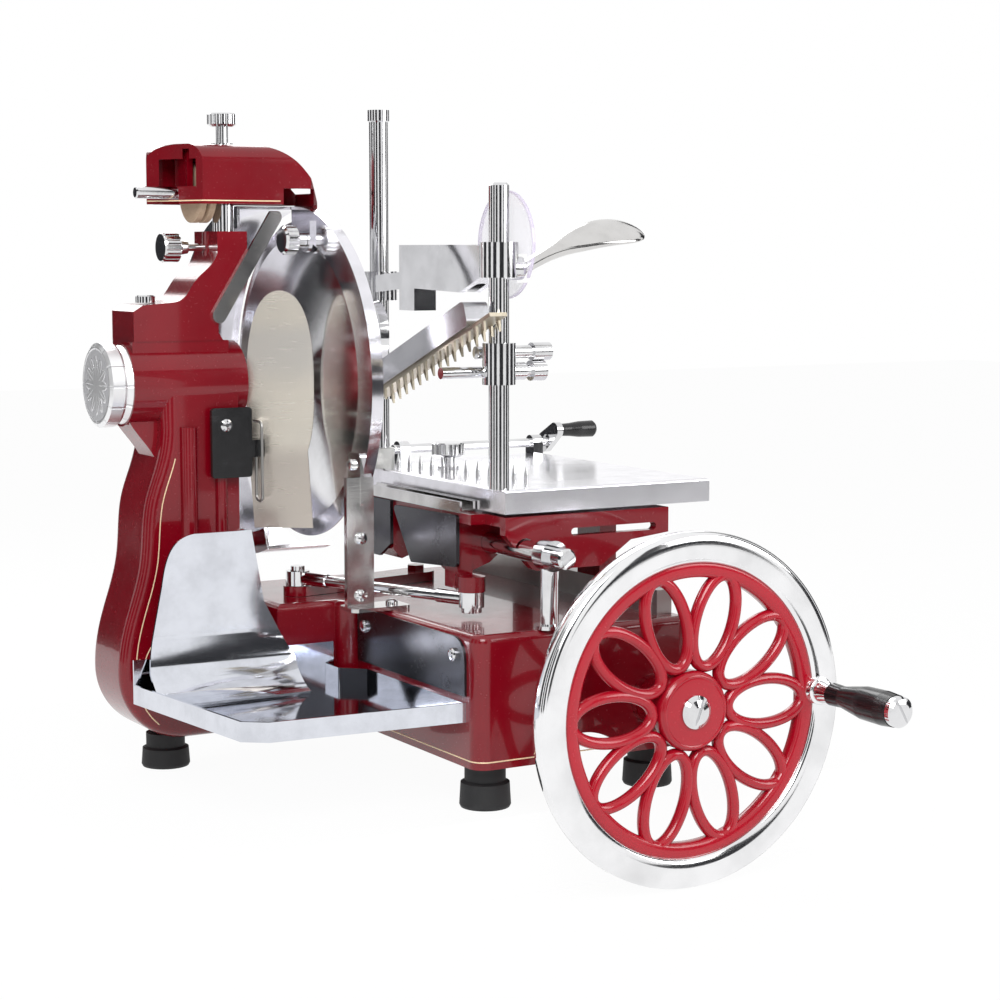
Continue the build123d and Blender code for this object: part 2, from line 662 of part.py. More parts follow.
knife_hub_x = KNIFE_EDGE_X - KNIFE_DISH
spindle_end = knife_hub_x - KNIFE_THICKNESS
knife = turned(
    (0, SPINDLE_Y, SPINDLE_Z),
    (1, 0, 0),
    [
        (spindle_end, KNIFE_HUB_RADIUS),
        (KNIFE_EDGE_X - 5, KNIFE_RADIUS - KNIFE_BEVEL),
        (KNIFE_EDGE_X - 0.6, KNIFE_RADIUS),
        (KNIFE_EDGE_X, KNIFE_RADIUS),
        (KNIFE_EDGE_X - 2, KNIFE_RADIUS - KNIFE_BEVEL),
        (knife_hub_x, KNIFE_HUB_RADIUS),
    ],
    SPINDLE_RADIUS - 3,
)
keep(knife, "knife")

collar_x = HOUSING_RIGHT + SEAT
sprocket_seat = SPINDLE_RADIUS - 4
with BuildPart() as knife_spindle:
    add(
        turned(
            (0, SPINDLE_Y, SPINDLE_Z),
            (1, 0, 0),
            [
                (HOUSING_LEFT - 2, SPINDLE_RADIUS),
                (sprocket_x + 1, SPINDLE_RADIUS),
                (sprocket_x + 1, sprocket_seat),
                (sprocket_x + CHAIN_WIDTH - 1, sprocket_seat),
                (sprocket_x + CHAIN_WIDTH - 1, SPINDLE_RADIUS),
                (collar_x, SPINDLE_RADIUS),
                (collar_x, 20),
                (collar_x + 10, 20),
                (collar_x + 10, 16),
                (spindle_end - 8, 16),
                (spindle_end - 8, 24),
                (spindle_end, 24),
                (spindle_end, SPINDLE_RADIUS - 3),
                (knife_hub_x, SPINDLE_RADIUS - 3),
                (knife_hub_x + 8, SPINDLE_RADIUS - 3),
            ],
        ).part
    )
    add(sprocket(SPINDLE_Z, small_sprocket_radius, sprocket_seat, sprocket_teeth // DRIVE_RATIO))
keep(knife_spindle, "knife_spindle")
knife_nut = turned(
    (knife_hub_x, SPINDLE_Y, SPINDLE_Z),
    (1, 0, 0),
    [(0, 24), (3, 24), (6, 18), (12, 18)],
    SPINDLE_RADIUS - 3,
)
keep(knife_nut, "knife_nut")
cap_neck = 5
cap_stations = [
    (0, HOUSING_RADIUS - 2),
    (cap_neck, HOUSING_RADIUS - 4),
    (cap_neck + 1, CAP_RADIUS - 1),
    (cap_neck + 3, CAP_RADIUS),
    (cap_neck + CAP_THICKNESS, CAP_RADIUS),
    (cap_neck + CAP_THICKNESS + 2, CAP_RADIUS - 3),
]
with BuildPart() as spindle_cap:
    add(turned((HOUSING_LEFT, SPINDLE_Y, SPINDLE_Z), (-1, 0, 0), cap_stations).part)
    with BuildSketch(Plane.YZ.offset(HOUSING_LEFT)):
        with Locations((SPINDLE_Y, SPINDLE_Z)):
            Circle(SPINDLE_RADIUS + 2)
    extrude(amount=-4, mode=Mode.SUBTRACT)
keep(spindle_cap, "spindle_cap")

# =========================== Guards round the knife ===========================

def guard_band(start, end, radius_in, x_left, x_right):
    """Sector of a ring round the spindle, from one x to another."""
    with BuildPart() as band:
        with BuildSketch(knife_plane(x_left)):
            add(ring_sector(GUARD_OUTER, radius_in, start, end))
        extrude(amount=x_right - x_left)
    return band.part


sheet_inner = GUARD_OUTER - GUARD_SHEET
hood_end = RING_START - 0.4
bar_y = 0
bracket_bar = 24
bracket_left = -50
bracket_thickness = 5
bracket_foot = 3
bracket_tab_top = SPINDLE_Z - 55
screw_radius = 5
knob_y = 96
knob_z = 433
lug_thickness = 3

with BuildPart() as guard_ring:
    add(guard_band(RING_START, RING_END, GUARD_INNER, GUARD_FACE_X, GUARD_FACE_X + GUARD_SHEET))
    add(guard_band(RING_START, RING_END, sheet_inner, GUARD_FACE_X, GUARD_RIGHT))
    # Lug for the knob near its top
    with BuildSketch(Plane.YZ.offset(GUARD_FACE_X - lug_thickness)):
        with Locations((knob_y, knob_z)):
            Circle(10)
        with Locations((knob_y, knob_z + 8)):
            Rectangle(20, 16)
    extrude(amount=lug_thickness)
    with BuildSketch(Plane.YZ.offset(GUARD_FACE_X - lug_thickness)):
        with Locations((knob_y, knob_z)):
            Circle(3 + RUNNING_FIT)
    extrude(amount=lug_thickness, mode=Mode.SUBTRACT)
keep(guard_ring, "guard_ring")

hood_flange = GUARD_INNER + 7
with BuildPart() as guard_hood:
    add(guard_band(HOOD_START, hood_end, hood_flange, GUARD_LEFT, GUARD_LEFT + GUARD_SHEET))
    add(guard_band(HOOD_START, hood_end, sheet_inner, GUARD_LEFT, GUARD_RIGHT))
keep(guard_hood, "guard_hood")

with BuildPart() as guard_bracket:
    with BuildSketch(Plane.XY.offset(BASE_TOP)):
        with Locations((bracket_left + bracket_bar / 2, bar_y)):
            Rectangle(bracket_bar, bracket_thickness)
    extrude(amount=SPINDLE_Z - 72 - BASE_TOP)
    with BuildSketch(Plane.XY.offset(BASE_TOP)):
        with Locations(((bracket_left + 2) / 2, bar_y)):
            Rectangle(2 - bracket_left, 28)
        fillet(vertices(), 5)
    extrude(amount=bracket_foot)
    with BuildSketch(Plane.YZ.offset(GUARD_FACE_X - bracket_foot)):
        with Locations((bar_y + 8, bracket_tab_top - 20)):
            Rectangle(22, 44)
        fillet(vertices(), 4)
    extrude(amount=bracket_foot)
    with BuildSketch(knife_plane(GUARD_FACE_X)):
        Circle(GUARD_OUTER)
    extrude(amount=GUARD_RIGHT - GUARD_FACE_X + 6, mode=Mode.SUBTRACT)
keep(guard_bracket, "guard_bracket")


def screw(origin, direction, radius, height):
    """Round screw head, domed."""
    return turned(
        origin,
        direction,
        [(0, radius), (height * 0.5, radius), (height * 0.85, radius * 0.75), (height, radius * 0.3)],
    ).part


# Flat stay from the sharpener bracket up to the hood
stay_low = Vector(-113, 0, 372)
stay_high = Vector(-63, 0, 452)
stay_width = 12
stay_sheet = 3
neck_front = 102
stay_plane = Plane(
    origin=(stay_low.X, neck_front, stay_low.Z), x_dir=(stay_high - stay_low), z_dir=(0, -1, 0)
)
stay_length = (stay_high - stay_low).length
with BuildPart() as guard_stay:
    with BuildSketch(stay_plane):
        with Locations((stay_length / 2, 0)):
            SlotOverall(stay_length + stay_width, stay_width)
    extrude(amount=stay_sheet)
    with BuildSketch(knife_plane(GUARD_LEFT)):
        Circle(GUARD_OUTER + 30)
        Circle(sheet_inner, mode=Mode.SUBTRACT)
    extrude(amount=60, mode=Mode.SUBTRACT)
keep(guard_stay, "guard_stay")

guard_knob = knurled(
    (GUARD_FACE_X, knob_y, knob_z),
    (-1, 0, 0),
    [(0.5, 3), (lug_thickness + SEAT, 3), (lug_thickness + SEAT, 6), (10, 6), (11, 9), (13, 12), (22, 12), (24, 10)],
    12.5,
    14,
    12,
    20,
)
keep(guard_knob, "guard_knob")

# Slice plate: oval sheet in front of the knife, with a fold near its foot
plate_left = Vector(-88, 104, 0)
plate_right = Vector(-42, 72, 0)
plate_width = (plate_right - plate_left).length
plate_top = 392
plate_fold = 261
plate_bottom = 197
plate_middle = 312
plate_sheet = 2
plate_plane = Plane(origin=plate_left, x_dir=(plate_right - plate_left), z_dir=(plate_right - plate_left).cross(Vector(0, 0, 1)))
with BuildPart() as slice_plate:
    with BuildSketch(plate_plane):
        with BuildLine():
            top_arc = Spline(
                (0, plate_middle),
                (plate_width * 0.52, plate_top),
                (plate_width, plate_middle + 6),
                tangents=[(0, 1), (0, -1)],
            )
            right_edge = Spline(
                (plate_width, plate_middle + 6),
                (plate_width * 0.9, plate_fold),
                tangents=[(0, -1), (-0.35, -1)],
            )
            Polyline(
                (plate_width * 0.9, plate_fold),
                (plate_width * 0.97, plate_bottom),
                (plate_width * 0.1, plate_bottom),
                (0, (plate_fold + plate_middle) / 2),
                (0, plate_middle),
            )
        make_face()
    extrude(amount=plate_sheet)
keep(slice_plate, "slice_plate")

# Black rest plate on the column and the wire clip that holds the slice plate
rest_left = -128
rest_right = -93
rest_bottom = 241
rest_top = 298
rest_y = COLUMN_FRONT - 5 - 4
with BuildPart() as rest_plate:
    with BuildSketch(Plane.XZ.offset(-rest_y)):
        with Locations(((rest_left + rest_right) / 2, (rest_bottom + rest_top) / 2)):
            Rectangle(rest_right - rest_left, rest_top - rest_bottom)
        fillet(vertices(), 3)
    extrude(amount=-4)
    with BuildSketch(Plane.XY.offset(SPINDLE_Z - 60)):
        with BuildLine():
            Polyline(
                (rest_right, rest_y),
                (plate_left.X + 6, rest_y),
                (plate_left.X + 6, plate_left.Y),
                (rest_right, plate_left.Y),
                (rest_right, COLUMN_FRONT),
                (COLUMN_RIGHT - 8, COLUMN_FRONT),
                (COLUMN_RIGHT - 8, rest_y + 4),
                (rest_right, rest_y + 4),
                close=True,
            )
        make_face()
    extrude(amount=14)
    split(bisect_by=plate_plane.offset(plate_sheet), keep=Keep.TOP)
keep(rest_plate, "rest_plate")

# Wire clip: a loop of wire bent round the edge of the slice plate
clip_wire = 1.2
clip_x = plate_left.X + 1
with BuildPart() as wire_clip:
    with BuildLine():
        FilletPolyline(
            (clip_x, rest_y + 9, rest_bottom + 45),
            (clip_x, rest_y - 6, rest_bottom + 45),
            (clip_x, rest_y - 6, rest_bottom - 20),
            (clip_x, rest_y + 6, rest_bottom - 20),
            (clip_x, rest_y + 6, SPINDLE_Z - 60),
            radius=5,
        )
    with BuildSketch(Plane(origin=(clip_x, rest_y + 9, rest_bottom + 45), z_dir=(0, -1, 0))):
        Circle(clip_wire)
    sweep()
keep(wire_clip, "wire_clip")

# =========================== Sharpener ===========================

post_x = -97
post_y = 127
post_radius = 8.8
socket_radius = 17.5
socket_top = 440
socket_bottom = 398
cover_left = -154
cover_right = -20
cover_front = 95
cover_back = 159
cover_wall = 4
cover_crown = 12             # solid crown above the stones
rod_radius = 5
stone_radius = 24
stone_room = 3               # free space over the stones
rod_z = socket_top + stone_radius + 7
cover_bottom = rod_z - 9
cover_top = rod_z + stone_radius + stone_room + cover_crown
post_bottom = socket_bottom + 2

with BuildPart() as sharpener_bracket:
    with BuildSketch(Plane.XZ.offset(-neck_front)):
        with BuildLine():
            Polyline(
                (HOUSING_LEFT + 4, pad_top),
                (HOUSING_LEFT + 4, pad_top + 24),
                (HOUSING_LEFT + 12, pad_top + 29),
                (-152, pad_top + 31),
            )
            Spline((-152, pad_top + 31), (-132, 401), (-113, 424), tangents=[(1, 0.1), (0.2, 1)])
            Polyline((-113, 424), (-113, socket_top), (post_x + 10, socket_top), (post_x + 10, 404))
            Spline((post_x + 10, 404), (-106, 392), (-113, pad_top + 6), tangents=[(-1, -0.1), (0, -1)])
            Polyline((-113, pad_top + 6), (-109, pad_top), (HOUSING_LEFT + 4, pad_top))
        make_face()
    extrude(amount=-48)
    with BuildSketch(Plane.XY.offset(socket_bottom)):
        with Locations((post_x, post_y)):
            Circle(socket_radius)
    extrude(amount=socket_top - socket_bottom)
    with BuildSketch(Plane.XY.offset(post_bottom)):
        with Locations((post_x, post_y)):
            Circle(post_radius + RUNNING_FIT)
    extrude(amount=socket_top - post_bottom, mode=Mode.SUBTRACT)
    with BuildSketch(Plane.YZ.offset(post_x - socket_radius - 8)):
        with Locations((post_y, 427)):
            Circle(3 + RUNNING_FIT)
    extrude(amount=socket_radius, mode=Mode.SUBTRACT)
keep(sharpener_bracket, "sharpener_bracket")

clamp_knob = knurled(
    (post_x - post_radius - 1.5, post_y, 427),
    (-1, 0, 0),
    [(0, 3), (22, 3), (22, 5), (28, 6), (30, 8), (31, 12), (43, 12), (45, 11)],
    12.5,
    13,
    31,
    18,
)
keep(clamp_knob, "clamp_knob")

sharpener_post = turned(
    (post_x, post_y, 0),
    (0, 0, 1),
    [
        (post_bottom + 1, post_radius),
        (cover_top - cover_wall, post_radius),
    ],
)
keep(sharpener_post, "sharpener_post")

rod_y = 128
with BuildPart() as sharpener_cover:
    with BuildSketch(Plane.XY.offset(cover_bottom)):
        with BuildLine():
            Polyline(
                (cover_left + 26, cover_front),
                (cover_right - 12, cover_front),
                (cover_right, cover_front + 14),
                (cover_right, cover_back - 14),
                (cover_right - 12, cover_back),
                (cover_left + 4, cover_back),
                (cover_left, cover_back - 8),
                close=True,
            )
        make_face()
    extrude(amount=cover_top - cover_bottom)
    with BuildSketch(Plane.XZ.offset(-cover_front + 5)):
        with BuildLine():
            Polyline(
                (cover_left - 5, cover_bottom - 5),
                (cover_left - 5, cover_top - 14),
                (cover_left, cover_top - 12),
            )
            Spline(
                (cover_left, cover_top - 12),
                (cover_left + 14, cover_top),
                tangents=[(0.2, 1), (1, 0.1)],
            )
            Line((cover_left + 14, cover_top), (cover_right - 60, cover_top))
            Spline(
                (cover_right - 60, cover_top),
                (cover_right - 30, cover_top - 9),
                (cover_right, cover_top - 46),
                tangents=[(1, 0), (0.5, -1)],
            )
            Polyline(
                (cover_right, cover_top - 46),
                (cover_right + 5, cover_bottom - 5),
                (cover_left - 5, cover_bottom - 5),
            )
        make_face()
    extrude(amount=-(cover_back - cover_front + 10), mode=Mode.INTERSECT)
    with BuildSketch(Plane.YZ.offset(cover_left - 1)):
        with Locations(((cover_front + cover_back) / 2, (cover_bottom + cover_top) / 2)):
            Rectangle(cover_back - cover_front, cover_top - cover_bottom)
        fillet(vertices().group_by(Axis.Y)[-1], 15)
    extrude(amount=cover_right - cover_left + 2, mode=Mode.INTERSECT)
    # Skirt that hangs down over the knife at the right end
    with BuildSketch(Plane.XY.offset(cover_bottom - 19)):
        with Locations((cover_right - cover_wall / 2, (cover_front + cover_back) / 2)):
            Rectangle(cover_wall, cover_back - cover_front - 28)
    extrude(amount=20)
    # Hollow
    with BuildSketch(Plane.XY.offset(cover_bottom)):
        with BuildLine():
            Polyline(
                (cover_left + 28, cover_front + cover_wall),
                (cover_right - 14, cover_front + cover_wall),
                (cover_right - cover_wall, cover_front + 16),
                (cover_right - cover_wall, cover_back - 16),
                (cover_right - 14, cover_back - cover_wall),
                (cover_left + 8, cover_back - cover_wall),
                (cover_left + cover_wall, cover_back - 10),
                close=True,
            )
        make_face()
    extrude(amount=rod_z + rod_radius - cover_bottom, mode=Mode.SUBTRACT)
    with BuildSketch(Plane.XY.offset(rod_z + rod_radius)):
        with Locations(((cover_left + 6 + cover_right - 30) / 2, rod_y)):
            Rectangle(cover_right - cover_left - 36, 2 * stone_radius + 5)
    extrude(amount=stone_radius + stone_room - rod_radius, mode=Mode.SUBTRACT)
    with BuildSketch(Plane.XY.offset(cover_top - cover_crown)):
        with Locations(((cover_left + cover_right) / 2 - 12, rod_y)):
            Rectangle(cover_right - cover_left - 58, 40)
    extrude(amount=cover_crown - cover_wall, mode=Mode.SUBTRACT)
    # Web that carries the stone rod
    with BuildSketch(Plane.YZ.offset(cover_left + 21)):
        with Locations((rod_y, (cover_bottom + cover_top) / 2)):
            Rectangle(26, cover_top - cover_bottom - 6)
    extrude(amount=5)
    # Openings: notch over the knife, slot and bore for the rod
    with BuildSketch(Plane.XZ.offset(-cover_front + 2)):
        with Locations((cover_right - 22, cover_bottom)):
            Rectangle(30, 26)
    extrude(amount=-20, mode=Mode.SUBTRACT)
    with BuildSketch(Plane.YZ.offset(cover_left - 1)):
        with Locations((rod_y, rod_z)):
            Circle(rod_radius + RUNNING_FIT)
    extrude(amount=30, mode=Mode.SUBTRACT)
    with BuildSketch(Plane.YZ.offset(cover_left - 1)):
        with Locations((rod_y, rod_z)):
            Circle(rod_radius + 4)
        with Locations((rod_y, rod_z - 12)):
            Rectangle(2 * rod_radius + 8, 24)
    extrude(amount=20, mode=Mode.SUBTRACT)
keep(sharpener_cover, "sharpener_cover")

cover_knob = knurled(
    (post_x, post_y, cover_top),
    (0, 0, 1),
    [(0, 9), (1.5, 9), (1.5, 5), (15, 5), (15, 9), (17, 12), (25, 12), (26, 11)],
    12.5,
    8,
    17,
    18,
)
keep(cover_knob, "cover_knob")

rod_left = cover_left - 19
rod_right = post_x - post_radius - 5
stone_rod = turned(
    (0, rod_y, rod_z),
    (1, 0, 0),
    [
        (rod_left, 4),
        (rod_left + 1, rod_radius),
        (rod_right, rod_radius),
    ],
)
keep(stone_rod, "stone_rod")


def stone(x_left, thickness):
    """Abrasive wheel on the stone rod."""
    return turned(
        (0, rod_y, rod_z),
        (1, 0, 0),
        [
            (x_left, stone_radius - 3),
            (x_left + 1, stone_radius),
            (x_left + thickness - 1, stone_radius),
            (x_left + thickness, stone_radius - 3),
        ],
        rod_radius,
    ).part


stone_thickness = 7
with BuildPart() as sharpening_stones:
    add(stone(cover_left + 28, stone_thickness))
    add(stone(rod_right - stone_thickness, stone_thickness))
keep(sharpening_stones, "sharpening_stones")

# =========================== Tray, deflector and flank plate ===========================

tray_bottom = 70
tray_rim = 85
tray_sheet = 2
tray_left = -211
tray_front = -140
tray_back = 52
plate_x = BASE_LEFT - 2
tray_rear_rim = 105
tray_right = BASE_LEFT

with BuildPart() as slice_tray:
    with BuildSketch(Plane.XY.offset(tray_bottom)):
        with BuildLine():
            Polyline(
                (tray_right, tray_front),
                (tray_left + 34, tray_front + 10),
                (tray_left + 17, tray_front + 23),
                (tray_left, tray_back),
                (tray_right - 18, tray_back),
                (tray_right - 18, tray_back - 14),
                (tray_right, tray_back - 30),
                close=True,
            )
        make_face()
    extrude(amount=tray_rim - tray_bottom)
    offset(amount=-tray_sheet, openings=slice_tray.faces().sort_by(Axis.Z)[-1])
    with BuildSketch(Plane.XZ.offset(-tray_back + tray_sheet)):
        with BuildLine():
            Polyline(
                (tray_left, tray_rim),
                (tray_left, tray_rear_rim),
                (tray_right - 18, tray_rear_rim),
                (tray_right - 18, tray_rim),
                close=True,
            )
        make_face()
    extrude(amount=-tray_sheet)
keep(slice_tray, "slice_tray")

deflector_top = 202
deflector_sheet = 2
deflector_left = tray_left + 10
deflector_right = -76
deflector_y = tray_back - tray_sheet - deflector_sheet
deflector_bend = 50
deflector_foot = tray_bottom + tray_sheet
bend_centre = (deflector_y - deflector_bend, deflector_foot + deflector_bend)
bend_angle = degrees(asin(deflector_bend / (deflector_bend + deflector_sheet)))
with BuildPart() as slice_deflector:
    with BuildSketch(Plane.YZ.offset(deflector_left)):
        with BuildLine():
            inner_bend = CenterArc(bend_centre, deflector_bend, 0, -bend_angle)
            outer_bend = CenterArc(bend_centre, deflector_bend + deflector_sheet, 0, -bend_angle)
            Polyline(
                inner_bend @ 0,
                (deflector_y, deflector_top),
                (deflector_y + deflector_sheet, deflector_top),
                outer_bend @ 0,
            )
            Line(inner_bend @ 1, outer_bend @ 1)
        make_face()
    extrude(amount=deflector_right - deflector_left)
    with BuildSketch(Plane.XZ.offset(-deflector_y + 80)):
        with BuildLine():
            Polyline(
                (deflector_left, deflector_foot - 3),
                (deflector_left, deflector_foot + 22),
                (deflector_left + 14, deflector_top - 40),
            )
            Spline(
                (deflector_left + 14, deflector_top - 40),
                (deflector_left + 42, deflector_top),
                tangents=[(0.15, 1), (1, 0.1)],
            )
            Polyline(
                (deflector_left + 42, deflector_top),
                (deflector_right - 34, deflector_top),
                (deflector_right - 24, deflector_top - 58),
                (deflector_right, deflector_foot + 26),
                (deflector_right, deflector_foot - 3),
                (deflector_left, deflector_foot - 3),
            )
        make_face()
    extrude(amount=-90, mode=Mode.INTERSECT)
keep(slice_deflector, "slice_deflector")

with BuildPart() as flank_plate:
    with BuildSketch(Plane.YZ.offset(plate_x)):
        with BuildLine():
            Polyline(
                (BASE_FRONT + BASE_CORNER + 4, 90),
                (tray_back - 14, 90),
                (tray_back - 14, 134),
                (BASE_FRONT + BASE_CORNER + 24, 134),
            )
            Spline(
                (BASE_FRONT + BASE_CORNER + 24, 134),
                (BASE_FRONT + BASE_CORNER + 4, 114),
                tangents=[(-1, 0), (0, -1)],
            )
            Line((BASE_FRONT + BASE_CORNER + 4, 114), (BASE_FRONT + BASE_CORNER + 4, 90))
        make_face()
    extrude(amount=BASE_LEFT - plate_x)
keep(flank_plate, "flank_plate")

# Screw heads on the body
bracket_screw_x = bracket_left + bracket_bar / 2
bracket_face = bar_y - bracket_thickness / 2
cap_screw_height = 6
with BuildPart() as body_screws:
    add(screw((bracket_screw_x, bracket_face, BASE_TOP + 12), (0, -1, 0), screw_radius, 4))
    add(screw((bracket_screw_x, bracket_face, BASE_TOP + 58), (0, -1, 0), screw_radius, 4))
    add(screw((GUARD_FACE_X - bracket_foot, bar_y + 11, bracket_tab_top - 8), (-1, 0, 0), screw_radius, 4))
    add(screw((-9, bar_y, BASE_TOP + bracket_foot), (0, 0, 1), screw_radius, 4))
    add(screw((plate_x, BASE_FRONT + BASE_CORNER + 20, 120), (-1, 0, 0), screw_radius, 4))
    add(screw((plate_x, tray_back - 28, 120), (-1, 0, 0), screw_radius, 4))
    add(screw((rest_left + 12, rest_y, rest_top - 14), (0, -1, 0), screw_radius, 3))
    add(turned((-166, post_y, pad_top + 30.6), (0, 0, 1), [(0, 8), (5, 8), (cap_screw_height, 7)]).part)
keep(body_screws, "body_screws")

# =========================== Guide bar, rail, crank and connecting rod ===========================

bar_bore = BAR_RADIUS + 2 * RUNNING_FIT
bar_eye = BAR_RADIUS + 4
rear_post_y = BAR_BACK - 11
flange_height = 3
flange_radius = 12

guide_bar = turned(
    (BAR_X, BAR_FRONT, BAR_Z),
    (0, 1, 0),
    [
        (0, BAR_RADIUS - 1.5),
        (1.5, BAR_RADIUS),
        (BAR_BACK - BAR_FRONT - 1.5, BAR_RADIUS),
        (BAR_BACK - BAR_FRONT, BAR_RADIUS - 1.5),
    ],
)
keep(guide_bar, "guide_bar")


with BuildPart() as bar_posts:
    for pillar_y in (BAR_POST_Y, rear_post_y):
        add(
            turned(
                (BAR_X, pillar_y, BASE_TOP),
                (0, 0, 1),
                [
                    (0, flange_radius),
                    (flange_height, flange_radius),
                    (flange_height, BAR_POST_RADIUS),
                    (BAR_Z - BASE_TOP - 2, BAR_POST_RADIUS),
                ],
            ).part
        )
        add(turned((BAR_X, pillar_y - 7, BAR_Z), (0, 1, 0), [(0, bar_eye), (14, bar_eye)]).part)
        eye_bore = turned((BAR_X, pillar_y - 8, BAR_Z), (0, 1, 0), [(0, BAR_RADIUS), (16, BAR_RADIUS)])
        add(eye_bore.part, mode=Mode.SUBTRACT)
keep(bar_posts, "bar_posts")

rail_width = 14
with BuildPart() as carriage_rail:
    with BuildSketch(Plane.XY.offset(BASE_TOP)):
        with Locations((RAIL_X, (BASE_FRONT + BASE_BACK) / 2)):
            Rectangle(rail_width, BASE_BACK - BASE_FRONT - 30)
    extrude(amount=RAIL_TOP - BASE_TOP)
keep(carriage_rail, "carriage_rail")

# Rocker arm: swings between the base and the connecting rod
rocker_tip_x = ROCKER_X - sqrt(ROCKER_LENGTH**2 - (cross_y - ROCKER_TIP_Y) ** 2)
arm_bottom = BASE_TOP + SEAT
with BuildPart() as rocker_arm:
    with BuildSketch(Plane.XY.offset(arm_bottom)):
        with Locations((ROCKER_X, cross_y)):
            Circle(ROCKER_HUB_RADIUS)
        with Locations((rocker_tip_x, ROCKER_TIP_Y)):
            Circle(ROCKER_EYE_RADIUS)
        make_hull()
    extrude(amount=ROCKER_THICKNESS)
    with BuildSketch(Plane.XY.offset(rocker_boss_bottom)):
        with Locations((ROCKER_X, cross_y)):
            Circle(ROCKER_SHAFT_RADIUS)
    extrude(amount=arm_bottom - rocker_boss_bottom)
    with BuildSketch(Plane.XY.offset(arm_bottom + ROCKER_THICKNESS)):
        with Locations((ROCKER_X, cross_y)):
            RegularPolygon(8, 6)
    extrude(amount=5)
keep(rocker_arm, "rocker_arm")

# Connecting rod: front eye under the carriage leg, rear eye over the rocker's tip
rod_bottom = arm_bottom + ROCKER_THICKNESS + SEAT
rod_top = LEG_BOTTOM - SEAT
rod_middle = (rod_bottom + rod_top) / 2
rod_from = Vector(ROD_FRONT_X, ROD_FRONT_Y, rod_middle)
rod_to = Vector(rocker_tip_x, ROCKER_TIP_Y, rod_middle)
rod_direction = (rod_to - rod_from).normalized()
rod_length = (rod_to - rod_from).length
rod_socket = 34
with BuildPart() as connecting_rod:
    add(turned(rod_from, (0, 0, 1), [(rod_bottom - rod_middle, ROD_EYE_RADIUS), (rod_top - rod_middle, ROD_EYE_RADIUS)]).part)
    add(
        turned(
            rod_to,
            (0, 0, 1),
            [
                (rod_bottom - rod_middle, ROD_EYE_RADIUS),
                (rod_top - rod_middle, ROD_EYE_RADIUS),
                (rod_top - rod_middle, 6),
                (rod_top - rod_middle + 4, 6),
            ],
        ).part
    )
    add(
        turned(
            rod_from,
            tuple(rod_direction),
            [
                (ROD_EYE_RADIUS - 2, 5.5),
                (rod_socket, 5.5),
                (rod_socket, ROD_RADIUS),
                (rod_length - rod_socket, ROD_RADIUS),
                (rod_length - rod_socket, 5.5),
                (rod_length - ROD_EYE_RADIUS + 2, 5.5),
            ],
        ).part
    )
    with BuildSketch(Plane.XY.offset(rod_bottom - 1)):
        with Locations((ROD_FRONT_X, ROD_FRONT_Y)):
            Circle(5 + RUNNING_FIT)
    extrude(amount=rod_top - rod_bottom + 2, mode=Mode.SUBTRACT)
keep(connecting_rod, "connecting_rod")

rod_pin = turned(
    (ROD_FRONT_X, ROD_FRONT_Y, 0),
    (0, 0, 1),
    [
        (rod_bottom - SEAT - 4, 8),
        (rod_bottom - SEAT, 8),
        (rod_bottom - SEAT, 5),
        (LEG_BOTTOM, 5),
    ],
)
keep(rod_pin, "rod_pin")

# =========================== Carriage ===========================

deck_thickness = 8
deck_bottom = CARRIAGE_TOP - deck_thickness
wall_thickness = 8
rear_leg_front = 46
leg_right = BAR_X + bar_eye + 4
slot_left = 90
slot_right = 170
slot_z = 205.5
slot_height = 6
foot_half = 8

